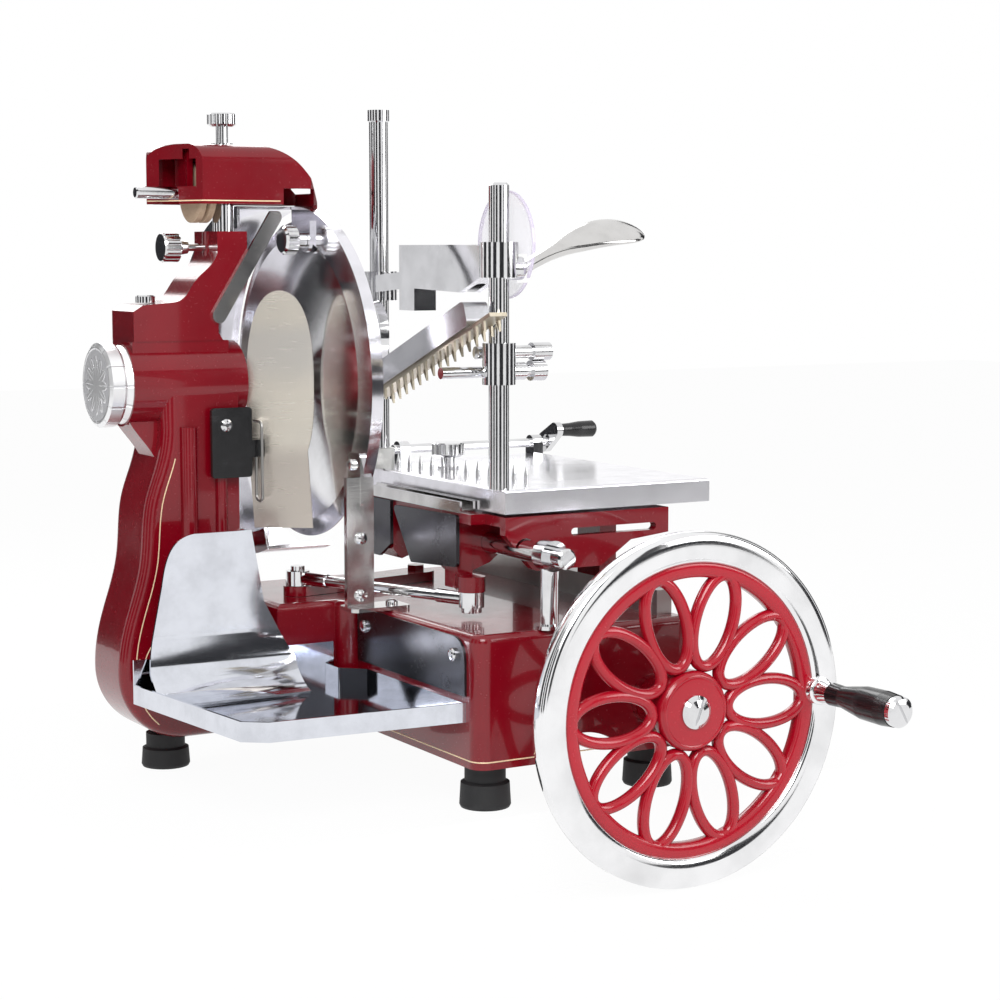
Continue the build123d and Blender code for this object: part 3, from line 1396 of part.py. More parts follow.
with BuildPart() as carriage_casting:
    with BuildSketch(Plane.XY.offset(deck_bottom)):
        with Locations(((CARRIAGE_LEFT + CARRIAGE_RIGHT) / 2, (CARRIAGE_FRONT + CARRIAGE_BACK) / 2)):
            Rectangle(CARRIAGE_RIGHT - CARRIAGE_LEFT, CARRIAGE_BACK - CARRIAGE_FRONT)
        with Locations(((leg_right + CARRIAGE_RIGHT) / 2 - 6, 20)):
            RectangleRounded(CARRIAGE_RIGHT - leg_right - 50, 160, 10, mode=Mode.SUBTRACT)
        with Locations((CARRIAGE_LEFT + 6, CARRIAGE_FRONT + 15)):
            Rectangle(14, 32, mode=Mode.SUBTRACT)
    extrude(amount=deck_thickness)
    for leg_y in (LEG_FRONT, rear_leg_front):
        with BuildSketch(Plane.XZ.offset(-leg_y)):
            with BuildLine():
                Polyline(
                    (CARRIAGE_LEFT, deck_bottom),
                    (CARRIAGE_LEFT, BAR_Z - bar_eye - 4),
                    (CARRIAGE_LEFT + 8, BAR_Z - bar_eye - 12),
                    (BAR_X, BAR_Z - bar_eye - 4),
                    (leg_right, BAR_Z - 4),
                    (leg_right, deck_bottom),
                    close=True,
                )
            make_face()
        extrude(amount=-LEG_LENGTH)
        with BuildSketch(Plane.XZ.offset(-leg_y)):
            with Locations((BAR_X, BAR_Z)):
                Circle(bar_bore)
        extrude(amount=-LEG_LENGTH, mode=Mode.SUBTRACT)
    # Boss for the connecting rod, on the front leg
    with BuildSketch(Plane.XY.offset(LEG_BOTTOM)):
        with Locations((ROD_FRONT_X, ROD_FRONT_Y)):
            Circle(ROD_EYE_RADIUS + 1)
        with Locations((CARRIAGE_LEFT + 6, LEG_FRONT)):
            Circle(6)
        make_hull()
    extrude(amount=12)
    with BuildSketch(Plane.XY.offset(LEG_BOTTOM)):
        with Locations((ROD_FRONT_X + 3, LEG_FRONT + 8)):
            Rectangle(14, 20)
    extrude(amount=deck_bottom - LEG_BOTTOM)
    # Front wall with its long slot
    with BuildSketch(Plane.XZ.offset(-CARRIAGE_FRONT)):
        with BuildLine():
            Polyline(
                (TABLE_LEFT, CARRIAGE_TOP),
                (TABLE_LEFT, deck_bottom - 6),
                (TABLE_LEFT + 26, 177),
                (TABLE_LEFT + 88, 177),
                (TABLE_LEFT + 116, 196),
                (CARRIAGE_RIGHT, 200),
                (CARRIAGE_RIGHT, CARRIAGE_TOP),
                close=True,
            )
        make_face()
        fillet(vertices().group_by(Axis.Y)[0], 8)
        with Locations(((slot_left + slot_right) / 2, slot_z)):
            SlotOverall(slot_right - slot_left, slot_height, mode=Mode.SUBTRACT)
        with Locations((BAR_X, BAR_Z)):
            Circle(bar_bore + 1, mode=Mode.SUBTRACT)
    extrude(amount=-wall_thickness)
    # Feet that ride on the rail
    for foot_y in (LEG_FRONT, rear_leg_front):
        with BuildSketch(Plane.XY.offset(RAIL_TOP + SEAT)):
            with Locations((RAIL_X, foot_y + LEG_LENGTH / 2)):
                Rectangle(2 * foot_half, LEG_LENGTH)
        extrude(amount=deck_bottom - RAIL_TOP - SEAT + 1)
keep(carriage_casting, "carriage_casting")

side_sheet = 3
with BuildPart() as carriage_plates:
    with BuildSketch(Plane.YZ.offset(CARRIAGE_LEFT - side_sheet)):
        with BuildLine():
            Polyline(
                (LEG_FRONT - 6, CARRIAGE_TOP - 2),
                (LEG_FRONT - 6, LEG_BOTTOM + 18),
                (LEG_FRONT + 70, LEG_BOTTOM + 13),
                (rear_leg_front - 4, CARRIAGE_TOP - 4),
                close=True,
            )
        make_face()
        fillet(vertices(), 3)
    extrude(amount=side_sheet)
    with BuildSketch(Plane.YZ.offset(CARRIAGE_LEFT - side_sheet)):
        with BuildLine():
            Polyline(
                (rear_leg_front, CARRIAGE_TOP - 1),
                (rear_leg_front, LEG_BOTTOM + 24),
                (rear_leg_front + 20, LEG_BOTTOM + 12),
                (rear_leg_front + 46, LEG_BOTTOM + 12),
                (rear_leg_front + 46, CARRIAGE_TOP - 1),
                close=True,
            )
        make_face()
    extrude(amount=side_sheet)
keep(carriage_plates, "carriage_plates")

channel_width = 14
channel_height = 9
with BuildPart() as carriage_channel:
    with BuildSketch(Plane.XZ.offset(-(LEG_FRONT - 10))):
        with Locations((CARRIAGE_LEFT - 2 + channel_width / 2, CARRIAGE_TOP + channel_height / 2)):
            Rectangle(channel_width, channel_height)
        with Locations((CARRIAGE_LEFT - 2 + channel_width / 2, CARRIAGE_TOP + channel_height / 2 + 2)):
            Rectangle(channel_width - 4, channel_height, mode=Mode.SUBTRACT)
    extrude(amount=-(96 - LEG_FRONT + 10))
keep(carriage_channel, "carriage_channel")

# =========================== Meat table ===========================

skirt_bottom = TABLE_TOP - TABLE_SKIRT
runner_top = TABLE_TOP - TABLE_SHEET
with BuildPart() as meat_table:
    with BuildSketch(Plane.XY.offset(skirt_bottom)):
        with Locations(((TABLE_LEFT + TABLE_RIGHT) / 2, (TABLE_FRONT + TABLE_BACK) / 2)):
            Rectangle(TABLE_RIGHT - TABLE_LEFT, TABLE_BACK - TABLE_FRONT)
    extrude(amount=TABLE_SKIRT)
    with BuildSketch(Plane.XY.offset(skirt_bottom)):
        with Locations(((TABLE_LEFT + TABLE_RIGHT) / 2, (TABLE_FRONT + TABLE_BACK) / 2)):
            Rectangle(TABLE_RIGHT - TABLE_LEFT - 2 * TABLE_SHEET, TABLE_BACK - TABLE_FRONT - 2 * TABLE_SHEET)
    extrude(amount=runner_top - skirt_bottom, mode=Mode.SUBTRACT)
    fillet(meat_table.faces().sort_by(Axis.Z)[-1].edges(), 2)
    # Runners that slide on the carriage
    for runner_y in (-75, 115):
        with BuildSketch(Plane.XY.offset(CARRIAGE_TOP + SEAT)):
            with Locations(((TABLE_LEFT + TABLE_RIGHT) / 2, runner_y)):
                Rectangle(TABLE_RIGHT - TABLE_LEFT - 2 * TABLE_SHEET - 6, 16)
        extrude(amount=runner_top - CARRIAGE_TOP - SEAT)
keep(meat_table, "meat_table")

spike_start = Vector(TABLE_LEFT + 13, 86, TABLE_TOP)
spike_end = Vector(TABLE_LEFT + 48, -66, TABLE_TOP)
with BuildPart() as table_spikes:
    for number in range(SPIKE_COUNT):
        spike_at = spike_start + (spike_end - spike_start) * (number / (SPIKE_COUNT - 1))
        add(turned(spike_at, (0, 0, 1), [(0, 1.8), (SPIKE_HEIGHT * 0.45, 1.7), (SPIKE_HEIGHT, 0.3)]).part)
keep(table_spikes, "table_spikes")

table_knob = knurled(
    (TABLE_LEFT + 50, 66, TABLE_TOP),
    (0, 0, 1),
    [(SEAT, 9), (2, 9), (2, 6), (10, 6), (10, 11), (12, 14), (21, 14), (22, 13)],
    14.5,
    9,
    12,
    22,
)
keep(table_knob, "table_knob")

with BuildPart() as press_posts:
    add(
        turned(
            (POST_X, FRONT_POST_Y, 0),
            (0, 0, 1),
            [(TABLE_TOP, POST_RADIUS), (FRONT_POST_TOP - 2, POST_RADIUS), (FRONT_POST_TOP, POST_RADIUS - 2)],
        ).part
    )
    add(
        turned(
            (POST_X, REAR_POST_Y, 0),
            (0, 0, 1),
            [
                (TABLE_TOP, POST_RADIUS),
                (REAR_POST_TOP - 10, POST_RADIUS),
                (REAR_POST_TOP - 9, POST_RADIUS + 1.2),
                (REAR_POST_TOP, POST_RADIUS + 1.2),
            ],
        ).part
    )
keep(press_posts, "press_posts")
rear_post_bush = turned(
    (POST_X, REAR_POST_Y, TABLE_TOP), (0, 0, 1), [(0, POST_RADIUS + 4), (17, POST_RADIUS + 4)], POST_RADIUS
)
keep(rear_post_bush, "rear_post_bush")

# Feed screw along the back of the table, turned by a crank at its right end
feed_y = TABLE_BACK - 7
feed_z = TABLE_TOP + 10
feed_radius = 4
feed_bearing = 8
feed_left = TABLE_LEFT + 40
feed_right = TABLE_RIGHT + 2
with BuildPart() as feed_bearings:
    for bearing_x in (feed_left + 4, TABLE_RIGHT - 12):
        with BuildSketch(Plane.YZ.offset(bearing_x)):
            with Locations((feed_y, (TABLE_TOP + feed_z) / 2)):
                Rectangle(2 * feed_bearing - 2, feed_z - TABLE_TOP)
            with Locations((feed_y, feed_z)):
                Circle(feed_bearing - 1)
                Circle(feed_radius + RUNNING_FIT, mode=Mode.SUBTRACT)
        extrude(amount=10)
keep(feed_bearings, "feed_bearings")
feed_grip_y = feed_y - 19
feed_grip_z = feed_z + 12
with BuildPart() as feed_screw:
    add(turned((0, feed_y, feed_z), (1, 0, 0), [(feed_left, feed_radius), (feed_right, feed_radius)]).part)
    with BuildSketch(Plane.YZ.offset(feed_right)):
        with Locations((feed_y, feed_z)):
            Circle(9)
        with Locations((feed_grip_y, feed_grip_z)):
            Circle(7)
        make_hull()
    extrude(amount=6)
    with BuildSketch(Plane.YZ.offset(feed_right + 6)):
        with Locations((feed_grip_y, feed_grip_z)):
            Circle(3)
    extrude(amount=26)
keep(feed_screw, "feed_screw")
feed_grip = turned(
    (feed_right + 6 + SEAT, feed_grip_y, feed_grip_z),
    (1, 0, 0),
    [(0, 5.5), (10, 6), (20, 7.2), (34, 7.5), (36, 6)],
)
with BuildPart() as feed_handle:
    add(feed_grip.part)
    add(
        turned(
            (feed_right, feed_grip_y, feed_grip_z), (1, 0, 0), [(0, 3 + RUNNING_FIT), (32 + SEAT, 3 + RUNNING_FIT)]
        ).part,
        mode=Mode.SUBTRACT,
    )
keep(feed_handle, "feed_handle")

# =========================== Meat press on the two posts ===========================

sleeve_bore = POST_RADIUS + 2 * RUNNING_FIT
sleeve_radius = 15
yoke_half = 10
yoke_top = 429
yoke_rear_z = 383
front_sleeve_bottom = 404
front_sleeve_top = 431
grip_y = FRONT_POST_Y - 4
grip_z = 411
disc_x = 50

with BuildPart() as press_yoke:
    with BuildSketch(Plane.YZ.offset(POST_X - yoke_half)):
        with BuildLine():
            Polyline(
                (REAR_POST_Y, yoke_rear_z + 6),
                (REAR_POST_Y, yoke_rear_z + 20),
                (45, yoke_rear_z + 24),
                (45, yoke_top),
                (19, yoke_top),
                (-55, yoke_top),
                (FRONT_POST_Y, front_sleeve_top - 3),
                (FRONT_POST_Y, front_sleeve_bottom + 4),
                (-55, 392),
                (19, 394),
                (19, 376),
                (45, 376),
                (45, yoke_rear_z + 10),
                close=True,
            )
        make_face()
    extrude(amount=2 * yoke_half)
    with BuildSketch(Plane.XY.offset(yoke_top)):
        with Locations((POST_X, -32)):
            SlotOverall(86, 9, rotation=90)
    extrude(amount=-60, mode=Mode.SUBTRACT)
    with BuildSketch(Plane.XY.offset(yoke_rear_z)):
        with Locations((POST_X, REAR_POST_Y)):
            Circle(sleeve_radius)
    extrude(amount=24)
    with BuildSketch(Plane.XY.offset(front_sleeve_bottom)):
        with Locations((POST_X, FRONT_POST_Y)):
            Circle(sleeve_radius)
    extrude(amount=front_sleeve_top - front_sleeve_bottom)
    with BuildSketch(Plane.YZ.offset(POST_X)):
        with Locations((grip_y, grip_z)):
            Circle(9)
    extrude(amount=disc_x - POST_X)
    with BuildSketch(Plane.XY.offset(yoke_rear_z - 20)):
        with Locations((POST_X, REAR_POST_Y), (POST_X, FRONT_POST_Y)):
            Circle(sleeve_bore)
    extrude(amount=100, mode=Mode.SUBTRACT)
keep(press_yoke, "press_yoke")

lower_sleeve_bottom = 300
lower_sleeve_top = 326
lower_sleeve_radius = 13
ring_x = POST_X - 17
ring_thickness = 8
with BuildPart() as press_lock:
    add(
        turned(
            (POST_X, REAR_POST_Y, lower_sleeve_bottom),
            (0, 0, 1),
            [(0, lower_sleeve_radius), (lower_sleeve_top - lower_sleeve_bottom, lower_sleeve_radius)],
        ).part
    )
    with BuildSketch(Plane.YZ.offset(ring_x)):
        with Locations((REAR_POST_Y - 13, (lower_sleeve_top + yoke_rear_z) / 2)):
            Ellipse(22, (yoke_rear_z - lower_sleeve_top) / 2)
            Ellipse(14, (yoke_rear_z - lower_sleeve_top) / 2 - 8, mode=Mode.SUBTRACT)
        with Locations((REAR_POST_Y, yoke_rear_z - 3)):
            Rectangle(18, 6)
        with Locations((REAR_POST_Y, lower_sleeve_top)):
            Rectangle(18, 12)
    extrude(amount=ring_thickness)
    with BuildSketch(Plane.XY.offset(lower_sleeve_bottom)):
        with Locations((POST_X, REAR_POST_Y)):
            Circle(sleeve_bore)
    extrude(amount=yoke_rear_z - lower_sleeve_bottom, mode=Mode.SUBTRACT)
keep(press_lock, "press_lock")

arm_back = Vector(0, 109, 308)
arm_front = Vector(0, -104, 387)
arm_depth = 20
arm_left = -1
arm_width = POST_X - lower_sleeve_radius - arm_left
arm_slope = (arm_front - arm_back).normalized()
arm_length = (arm_front - arm_back).length
arm_plane = Plane(origin=(arm_left, arm_back.Y, arm_back.Z), x_dir=arm_slope, z_dir=(1, 0, 0))
depth_sign = -1 if arm_plane.y_dir.Z > 0 else 1
with BuildPart() as press_arm:
    with BuildSketch(arm_plane):
        with Locations((arm_length / 2, depth_sign * arm_depth / 2)):
            RectangleRounded(arm_length, arm_depth, 5)
    extrude(amount=arm_width)
    with BuildSketch(arm_plane.offset(3)):
        with Locations((arm_length / 2, depth_sign * 4)):
            Rectangle(arm_length - 44, 9)
    extrude(amount=arm_width - 6, mode=Mode.SUBTRACT)
keep(press_arm, "press_arm")

press_tooth_count = 16
tooth_bar = 3
tooth_height = 8
bar_length = 205
tooth_start = 52
tooth_pitch = (bar_length - 8) / press_tooth_count
with BuildPart() as press_teeth:
    for side in (arm_left + 3, arm_left + arm_width - 5):
        with BuildSketch(arm_plane.offset(side - arm_left)):
            with BuildLine():
                saw = [(tooth_start, depth_sign * (arm_depth + tooth_bar))]
                for number in range(press_tooth_count):
                    tooth = tooth_start + 4 + number * tooth_pitch
                    saw.append((tooth + 2, depth_sign * (arm_depth + tooth_bar)))
                    saw.append((tooth + 4, depth_sign * (arm_depth + tooth_bar + tooth_height)))
                    saw.append((tooth + 6, depth_sign * (arm_depth + tooth_bar)))
                saw.append((tooth_start + bar_length, depth_sign * (arm_depth + tooth_bar)))
                saw.append((tooth_start + bar_length, depth_sign * arm_depth))
                saw.append((tooth_start, depth_sign * arm_depth))
                Polyline(*saw, close=True)
            make_face()
        extrude(amount=2)
    with BuildSketch(arm_plane.offset(3)):
        with Locations((tooth_start + bar_length / 2, depth_sign * (arm_depth + tooth_bar / 2))):
            Rectangle(bar_length, tooth_bar)
    extrude(amount=arm_width - 6)
keep(press_teeth, "press_teeth")

stop_bottom = 322
stop_top = 354
with BuildPart() as press_stop_bars:
    with BuildSketch(Plane.XY.offset(stop_bottom)):
        with Locations((POST_X, FRONT_POST_Y)):
            Circle(lower_sleeve_radius)
    extrude(amount=stop_top - stop_bottom)
    add(
        turned(
            (POST_X - 12, FRONT_POST_Y + 15, 346), (1, 0, 0), [(0, 5), (50, 5), (50, 7), (66, 7)]
        ).part
    )
    add(
        turned(
            (POST_X - 43, FRONT_POST_Y + 15, 331),
            (1, 0, 0),
            [(0, 4.5), (62, 4.5), (62, 7), (74, 7), (74, 5), (80, 5), (80, 8), (92, 8)],
        ).part
    )
    with BuildSketch(Plane.XY.offset(stop_bottom)):
        with Locations((POST_X, FRONT_POST_Y)):
            Circle(sleeve_bore)
    extrude(amount=stop_top - stop_bottom, mode=Mode.SUBTRACT)
keep(press_stop_bars, "press_stop_bars")

grip_end_x = 163
with BuildPart() as press_handle:
    with BuildSketch(Plane.XZ.offset(-grip_y - 20)):
        with BuildLine():
            Spline(
                (disc_x, grip_z + 8), (88, 446), (125, 455), (grip_end_x, 446), tangents=[(1, 0.9), (1, -0.6)]
            )
            Spline((grip_end_x, 446), (158, 437), (122, 428), (88, 414), (disc_x, grip_z - 8))
            Line((disc_x, grip_z - 8), (disc_x, grip_z + 8))
        make_face()
    extrude(amount=40)
    with BuildSketch(Plane.XY.offset(380)):
        with BuildLine():
            Spline(
                (disc_x, grip_y + 7),
                (78, grip_y + 9),
                (130, grip_y + 16),
                (grip_end_x + 1, grip_y),
                tangents=[(1, 0), (0, -1)],
            )
            Spline(
                (grip_end_x + 1, grip_y),
                (130, grip_y - 16),
                (78, grip_y - 9),
                (disc_x, grip_y - 7),
                tangents=[(0, -1), (-1, 0)],
            )
            Line((disc_x, grip_y - 7), (disc_x, grip_y + 7))
        make_face()
    extrude(amount=100, mode=Mode.INTERSECT)
keep(press_handle, "press_handle")

disc_y = FRONT_POST_Y + 20
with BuildPart() as hand_guard_disc:
    with BuildSketch(Plane.YZ.offset(disc_x)):
        with Locations((disc_y, grip_z + 18)):
            Circle(42)
        with Locations((grip_y, grip_z)):
            Rectangle(19, 22, mode=Mode.SUBTRACT)
    extrude(amount=2.5)
keep(hand_guard_disc, "hand_guard_disc")
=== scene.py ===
import math

import bmesh
import bpy
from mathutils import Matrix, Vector
from mathutils.bvhtree import BVHTree


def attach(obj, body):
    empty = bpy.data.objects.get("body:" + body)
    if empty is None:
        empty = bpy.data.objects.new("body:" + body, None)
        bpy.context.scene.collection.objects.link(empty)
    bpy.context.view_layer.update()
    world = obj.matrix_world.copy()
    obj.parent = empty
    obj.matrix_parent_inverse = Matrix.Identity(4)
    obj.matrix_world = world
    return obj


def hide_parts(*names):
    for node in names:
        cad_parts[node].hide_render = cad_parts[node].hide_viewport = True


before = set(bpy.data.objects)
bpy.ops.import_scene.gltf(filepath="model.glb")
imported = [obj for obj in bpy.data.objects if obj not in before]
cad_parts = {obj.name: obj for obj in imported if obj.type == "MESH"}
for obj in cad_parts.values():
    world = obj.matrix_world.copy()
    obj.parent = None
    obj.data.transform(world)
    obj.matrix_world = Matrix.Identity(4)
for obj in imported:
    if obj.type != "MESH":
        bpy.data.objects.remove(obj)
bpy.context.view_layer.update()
mm = 0.001


# A shader socket that can be added, subtracted and multiplied like a number
class Wire:
    def __init__(self, tree, socket):
        self.tree = tree
        self.socket = socket

    def math(self, operation, other=None, third=None):
        node = self.tree.nodes.new("ShaderNodeMath")
        node.operation = operation
        for slotNumber, value in enumerate((self, other, third)):
            if value is not None:
                plug(self.tree, value, node.inputs[slotNumber])
        return Wire(self.tree, node.outputs[0])

    def __add__(self, other):
        return self.math("ADD", other)

    def __sub__(self, other):
        return self.math("SUBTRACT", other)

    def __mul__(self, other):
        return self.math("MULTIPLY", other)

    def power(self, other):
        return self.math("POWER", other)

    def absolute(self):
        return self.math("ABSOLUTE")

    def clamp(self):
        node = self.tree.nodes.new("ShaderNodeClamp")
        plug(self.tree, self, node.inputs[0])
        return Wire(self.tree, node.outputs[0])

    def between(self, low, high):
        node = self.tree.nodes.new("ShaderNodeMapRange")
        node.interpolation_type = "SMOOTHSTEP"
        plug(self.tree, self, node.inputs["Value"])
        node.inputs["From Min"].default_value = low
        node.inputs["From Max"].default_value = high
        return Wire(self.tree, node.outputs["Result"])


def plug(tree, value, socket):
    if isinstance(value, Wire):
        tree.links.new(value.socket, socket)
    else:
        socket.default_value = value


# One finish: the node tree, its coordinates and its Principled shader
class Finish:
    def __init__(self, name, **shaderValues):
        self.material = bpy.data.materials.new(name)
        self.material.use_nodes = True
        self.tree = self.material.node_tree
        self.shader = self.tree.nodes["Principled BSDF"]
        for socketName, value in shaderValues.items():
            self.shader.inputs[socketName].default_value = value
        place = self.tree.nodes.new("ShaderNodeTexCoord")
        self.place = Wire(self.tree, place.outputs["Object"])
        parts = self.tree.nodes.new("ShaderNodeSeparateXYZ")
        self.tree.links.new(place.outputs["Object"], parts.inputs[0])
        self.x, self.y, self.z = (Wire(self.tree, parts.outputs[i]) for i in range(3))

    def vector(self, x, y, z):
        node = self.tree.nodes.new("ShaderNodeCombineXYZ")
        for number, value in enumerate((x, y, z)):
            plug(self.tree, value, node.inputs[number])
        return Wire(self.tree, node.outputs[0])

    def noise(self, scale, detail=3.0, where=None, roughness=0.5):
        node = self.tree.nodes.new("ShaderNodeTexNoise")
        plug(self.tree, where or self.place, node.inputs["Vector"])
        node.inputs["Scale"].default_value = scale
        node.inputs["Detail"].default_value = detail
        node.inputs["Roughness"].default_value = roughness
        return Wire(self.tree, node.outputs[0])

    def specks(self, scale, where=None):
        node = self.tree.nodes.new("ShaderNodeTexVoronoi")
        plug(self.tree, where or self.place, node.inputs["Vector"])
        node.inputs["Scale"].default_value = scale
        return Wire(self.tree, node.outputs["Distance"])

    def stretched(self, scaleX, scaleY, scaleZ):
        return self.vector(self.x * scaleX, self.y * scaleY, self.z * scaleZ)

    def mix(self, amount, first, second):
        node = self.tree.nodes.new("ShaderNodeMix")
        node.data_type = "RGBA"
        plug(self.tree, amount, node.inputs["Factor"])
        for value, socket in ((first, node.inputs[6]), (second, node.inputs[7])):
            plug(self.tree, value if isinstance(value, Wire) else (*value, 1), socket)
        return Wire(self.tree, node.outputs[2])

    def colour(self, value):
        plug(self.tree, value, self.shader.inputs["Base Color"])

    def rough(self, value):
        plug(self.tree, value, self.shader.inputs["Roughness"])

    def bump(self, height, strength, distance):
        node = self.tree.nodes.new("ShaderNodeBump")
        plug(self.tree, height, node.inputs["Height"])
        node.inputs["Strength"].default_value = strength
        node.inputs["Distance"].default_value = distance
        self.tree.links.new(node.outputs[0], self.shader.inputs["Normal"])

    # Distance from an axis, and the angle round it
    def polar(self, first, second, centre):
        a = first - centre[0]
        b = second - centre[1]
        return (a * a + b * b).power(0.5), a.math("ARCTAN2", b)


# ---- finishes ----

def enamel(name, deep, bright):
    look = Finish(name, **{"Coat Weight": 0.55, "Coat Roughness": 0.03, "IOR": 1.38})
    cloudy = look.noise(14, 4)
    dust = look.noise(420, 2).between(0.62, 0.78)
    look.colour(look.mix((cloudy * 0.9 + dust * 0.12).clamp(), deep, bright))
    look.rough(look.noise(90, 5) * 0.16 + 0.14 + dust * 0.15)
    look.bump(look.noise(520, 2) + look.noise(60, 1) * 2.0, 0.05, 0.0006)
    return look.material


def brightMetal(name, base, low=0.04, high=0.14, grain=(900, 900, 900), lift=0.03):
    look = Finish(name, **{"Metallic": 1.0})
    smudge = look.noise(38, 5, roughness=0.6)
    lines = look.noise(1, 3, look.stretched(*grain))
    dark = tuple(0.86 * value for value in base)
    look.colour(look.mix(smudge.between(0.35, 0.75), base, dark))
    look.rough(smudge * (high - low) + low + lines * 0.05)
    look.bump(lines, lift, 0.0003)
    return look.material


# Turned or polished round the knife's axis, with fine rings
def ringMetal(name, base, low, high, centre, along="x"):
    look = Finish(name, **{"Metallic": 1.0})
    pair = {"x": (look.y, look.z), "y": (look.x, look.z)}[along]
    radius, angle = look.polar(pair[0], pair[1], centre)
    rings = look.noise(1, 3, look.vector(radius * 1600.0, angle * 1.5, 0.0))
    smudge = look.noise(25, 4)
    dark = tuple(0.82 * value for value in base)
    look.colour(look.mix(smudge.between(0.3, 0.8), base, dark))
    look.rough(rings * (high - low) + low + smudge * 0.05)
    look.bump(rings, 0.05, 0.0003)
    return look.material


def rubber(name, base, roughness):
    look = Finish(name)
    worn = look.noise(60, 5)
    pale = tuple(value * 2.2 + 0.01 for value in base)
    look.colour(look.mix(worn.between(0.5, 0.85), base, pale))
    look.rough(worn * 0.2 + roughness)
    look.bump(look.noise(900, 3), 0.12, 0.0004)
    return look.material


def stoneFinish(name):
    look = Finish(name)
    grit = look.noise(900, 4)
    pores = look.specks(700).between(0.15, 0.4)
    look.colour(look.mix((grit * 0.7 + pores * 0.3).clamp(), (0.30, 0.19, 0.11), (0.62, 0.47, 0.34)))
    look.rough(grit * 0.1 + 0.85)
    look.bump(grit + pores, 0.5, 0.0006)
    return look.material


spindleCentre = (0.125, 0.317)
wheelCentre = (0.139, 0.075)
redEnamel = enamel("redEnamel", (0.115, 0.0004, 0.004), (0.24, 0.0010, 0.009))
wheelEnamel = enamel("wheelEnamel", (0.27, 0.002, 0.010), (0.44, 0.004, 0.018))
chrome = brightMetal("chromePlate", (0.78, 0.78, 0.79), 0.03, 0.10)
polishedSteel = brightMetal("polishedSteel", (0.70, 0.69, 0.68), 0.05, 0.16, (80, 80, 1800), 0.04)
brushedSteel = brightMetal("brushedSteel", (0.42, 0.42, 0.44), 0.12, 0.28, (60, 1700, 1700), 0.08)
trayMetal = brightMetal("trayMetal", (0.74, 0.76, 0.82), 0.02, 0.08, (60, 900, 900), 0.02)
shaftSteel = brightMetal("shaftSteel", (0.42, 0.41, 0.40), 0.22, 0.42, (500, 500, 500), 0.10)
brassTone = brightMetal("brassTone", (0.48, 0.43, 0.34), 0.20, 0.40, (700, 700, 700), 0.10)
tableMetal = brightMetal("tableMetal", (0.93, 0.92, 0.96), 0.10, 0.24, (40, 900, 40), 0.05)
guardMetal = ringMetal("guardMetal", (0.90, 0.89, 0.94), 0.06, 0.18, spindleCentre)
knifeMetal = ringMetal("knifeMetal", (0.84, 0.84, 0.86), 0.05, 0.20, spindleCentre)
rimChrome = ringMetal("rimChrome", (0.92, 0.92, 0.93), 0.04, 0.12, wheelCentre, "y")
blackRubber = rubber("blackRubber", (0.012, 0.012, 0.013), 0.55)
blackGrip = rubber("blackGrip", (0.008, 0.008, 0.009), 0.12)
whitePlastic = rubber("whitePlastic", (0.62, 0.62, 0.60), 0.40)
tanStone = stoneFinish("tanStone")
darkPlate = brightMetal("darkPlate", (0.09, 0.09, 0.10), 0.16, 0.30, (60, 900, 900), 0.06)


# Polished plate in front of the knife: cream above, a grey band and a taupe foot, the foot's darker tone being
# painted shade where the plate bends below
def creamPlate():
    look = Finish("creamPlate", **{"Metallic": 0.75})
    smudge = look.noise(30, 4)
    band = look.z.between(0.305, 0.340) - look.z.between(0.352, 0.372)
    # painted shade: the colour darkens towards the bent lower part of the plate, below z 0.272
    footShade = look.z.between(0.272, 0.250)
    body = look.mix(smudge.between(0.3, 0.8), (0.86, 0.80, 0.70), (0.80, 0.75, 0.66))
    lower = look.mix(band * 0.35, body, (0.58, 0.58, 0.60))
    look.colour(look.mix(footShade * 0.6, lower, (0.50, 0.44, 0.40)))
    look.rough(look.noise(1, 3, look.stretched(40, 40, 900)) * 0.05 + 0.24)
    look.bump(look.noise(40, 2), 0.02, 0.0003)
    return look.material


def clearSheet():
    look = Finish("clearSheet", **{"IOR": 1.46, "Coat Weight": 0.5})
    radius, angle = look.polar(look.y, look.z, (-0.080, 0.429))
    edge = radius.between(0.0395, 0.0415)
    look.colour(look.mix(edge, (0.88, 0.86, 0.95), (0.62, 0.55, 0.72)))
    look.rough(look.noise(60, 3) * 0.06 + 0.03)
    plug(look.tree, edge * 0.4 + 0.20 + look.noise(20, 2) * 0.05, look.shader.inputs["Alpha"])
    return look.material


# Cap on the spindle housing: a plain six petal rosette pressed into its face
def rosetteCap():
    look = Finish("rosetteCap", **{"Metallic": 1.0})
    radius, angle = look.polar(look.y, look.z, spindleCentre)
    petal = (angle * 6.0).math("COSINE").absolute()
    reach = petal * 0.010 + 0.015
    leaf = (reach - radius).between(0.0, 0.0022)
    eye = (radius * -1.0 + 0.0055).between(0.0, 0.0012)
    border = radius.between(0.0285, 0.0300)
    vein = (angle * 12.0).math("COSINE").between(0.90, 1.0) * radius.between(0.006, 0.012)
    shape = (leaf - vein * 0.5 + eye + border).clamp()
    look.colour(look.mix(shape, (0.80, 0.80, 0.82), (0.94, 0.94, 0.95)))
    look.rough(shape * -0.10 + 0.44 + look.noise(200, 2) * 0.06)
    look.bump(shape, 0.9, 0.0012)
    return look.material


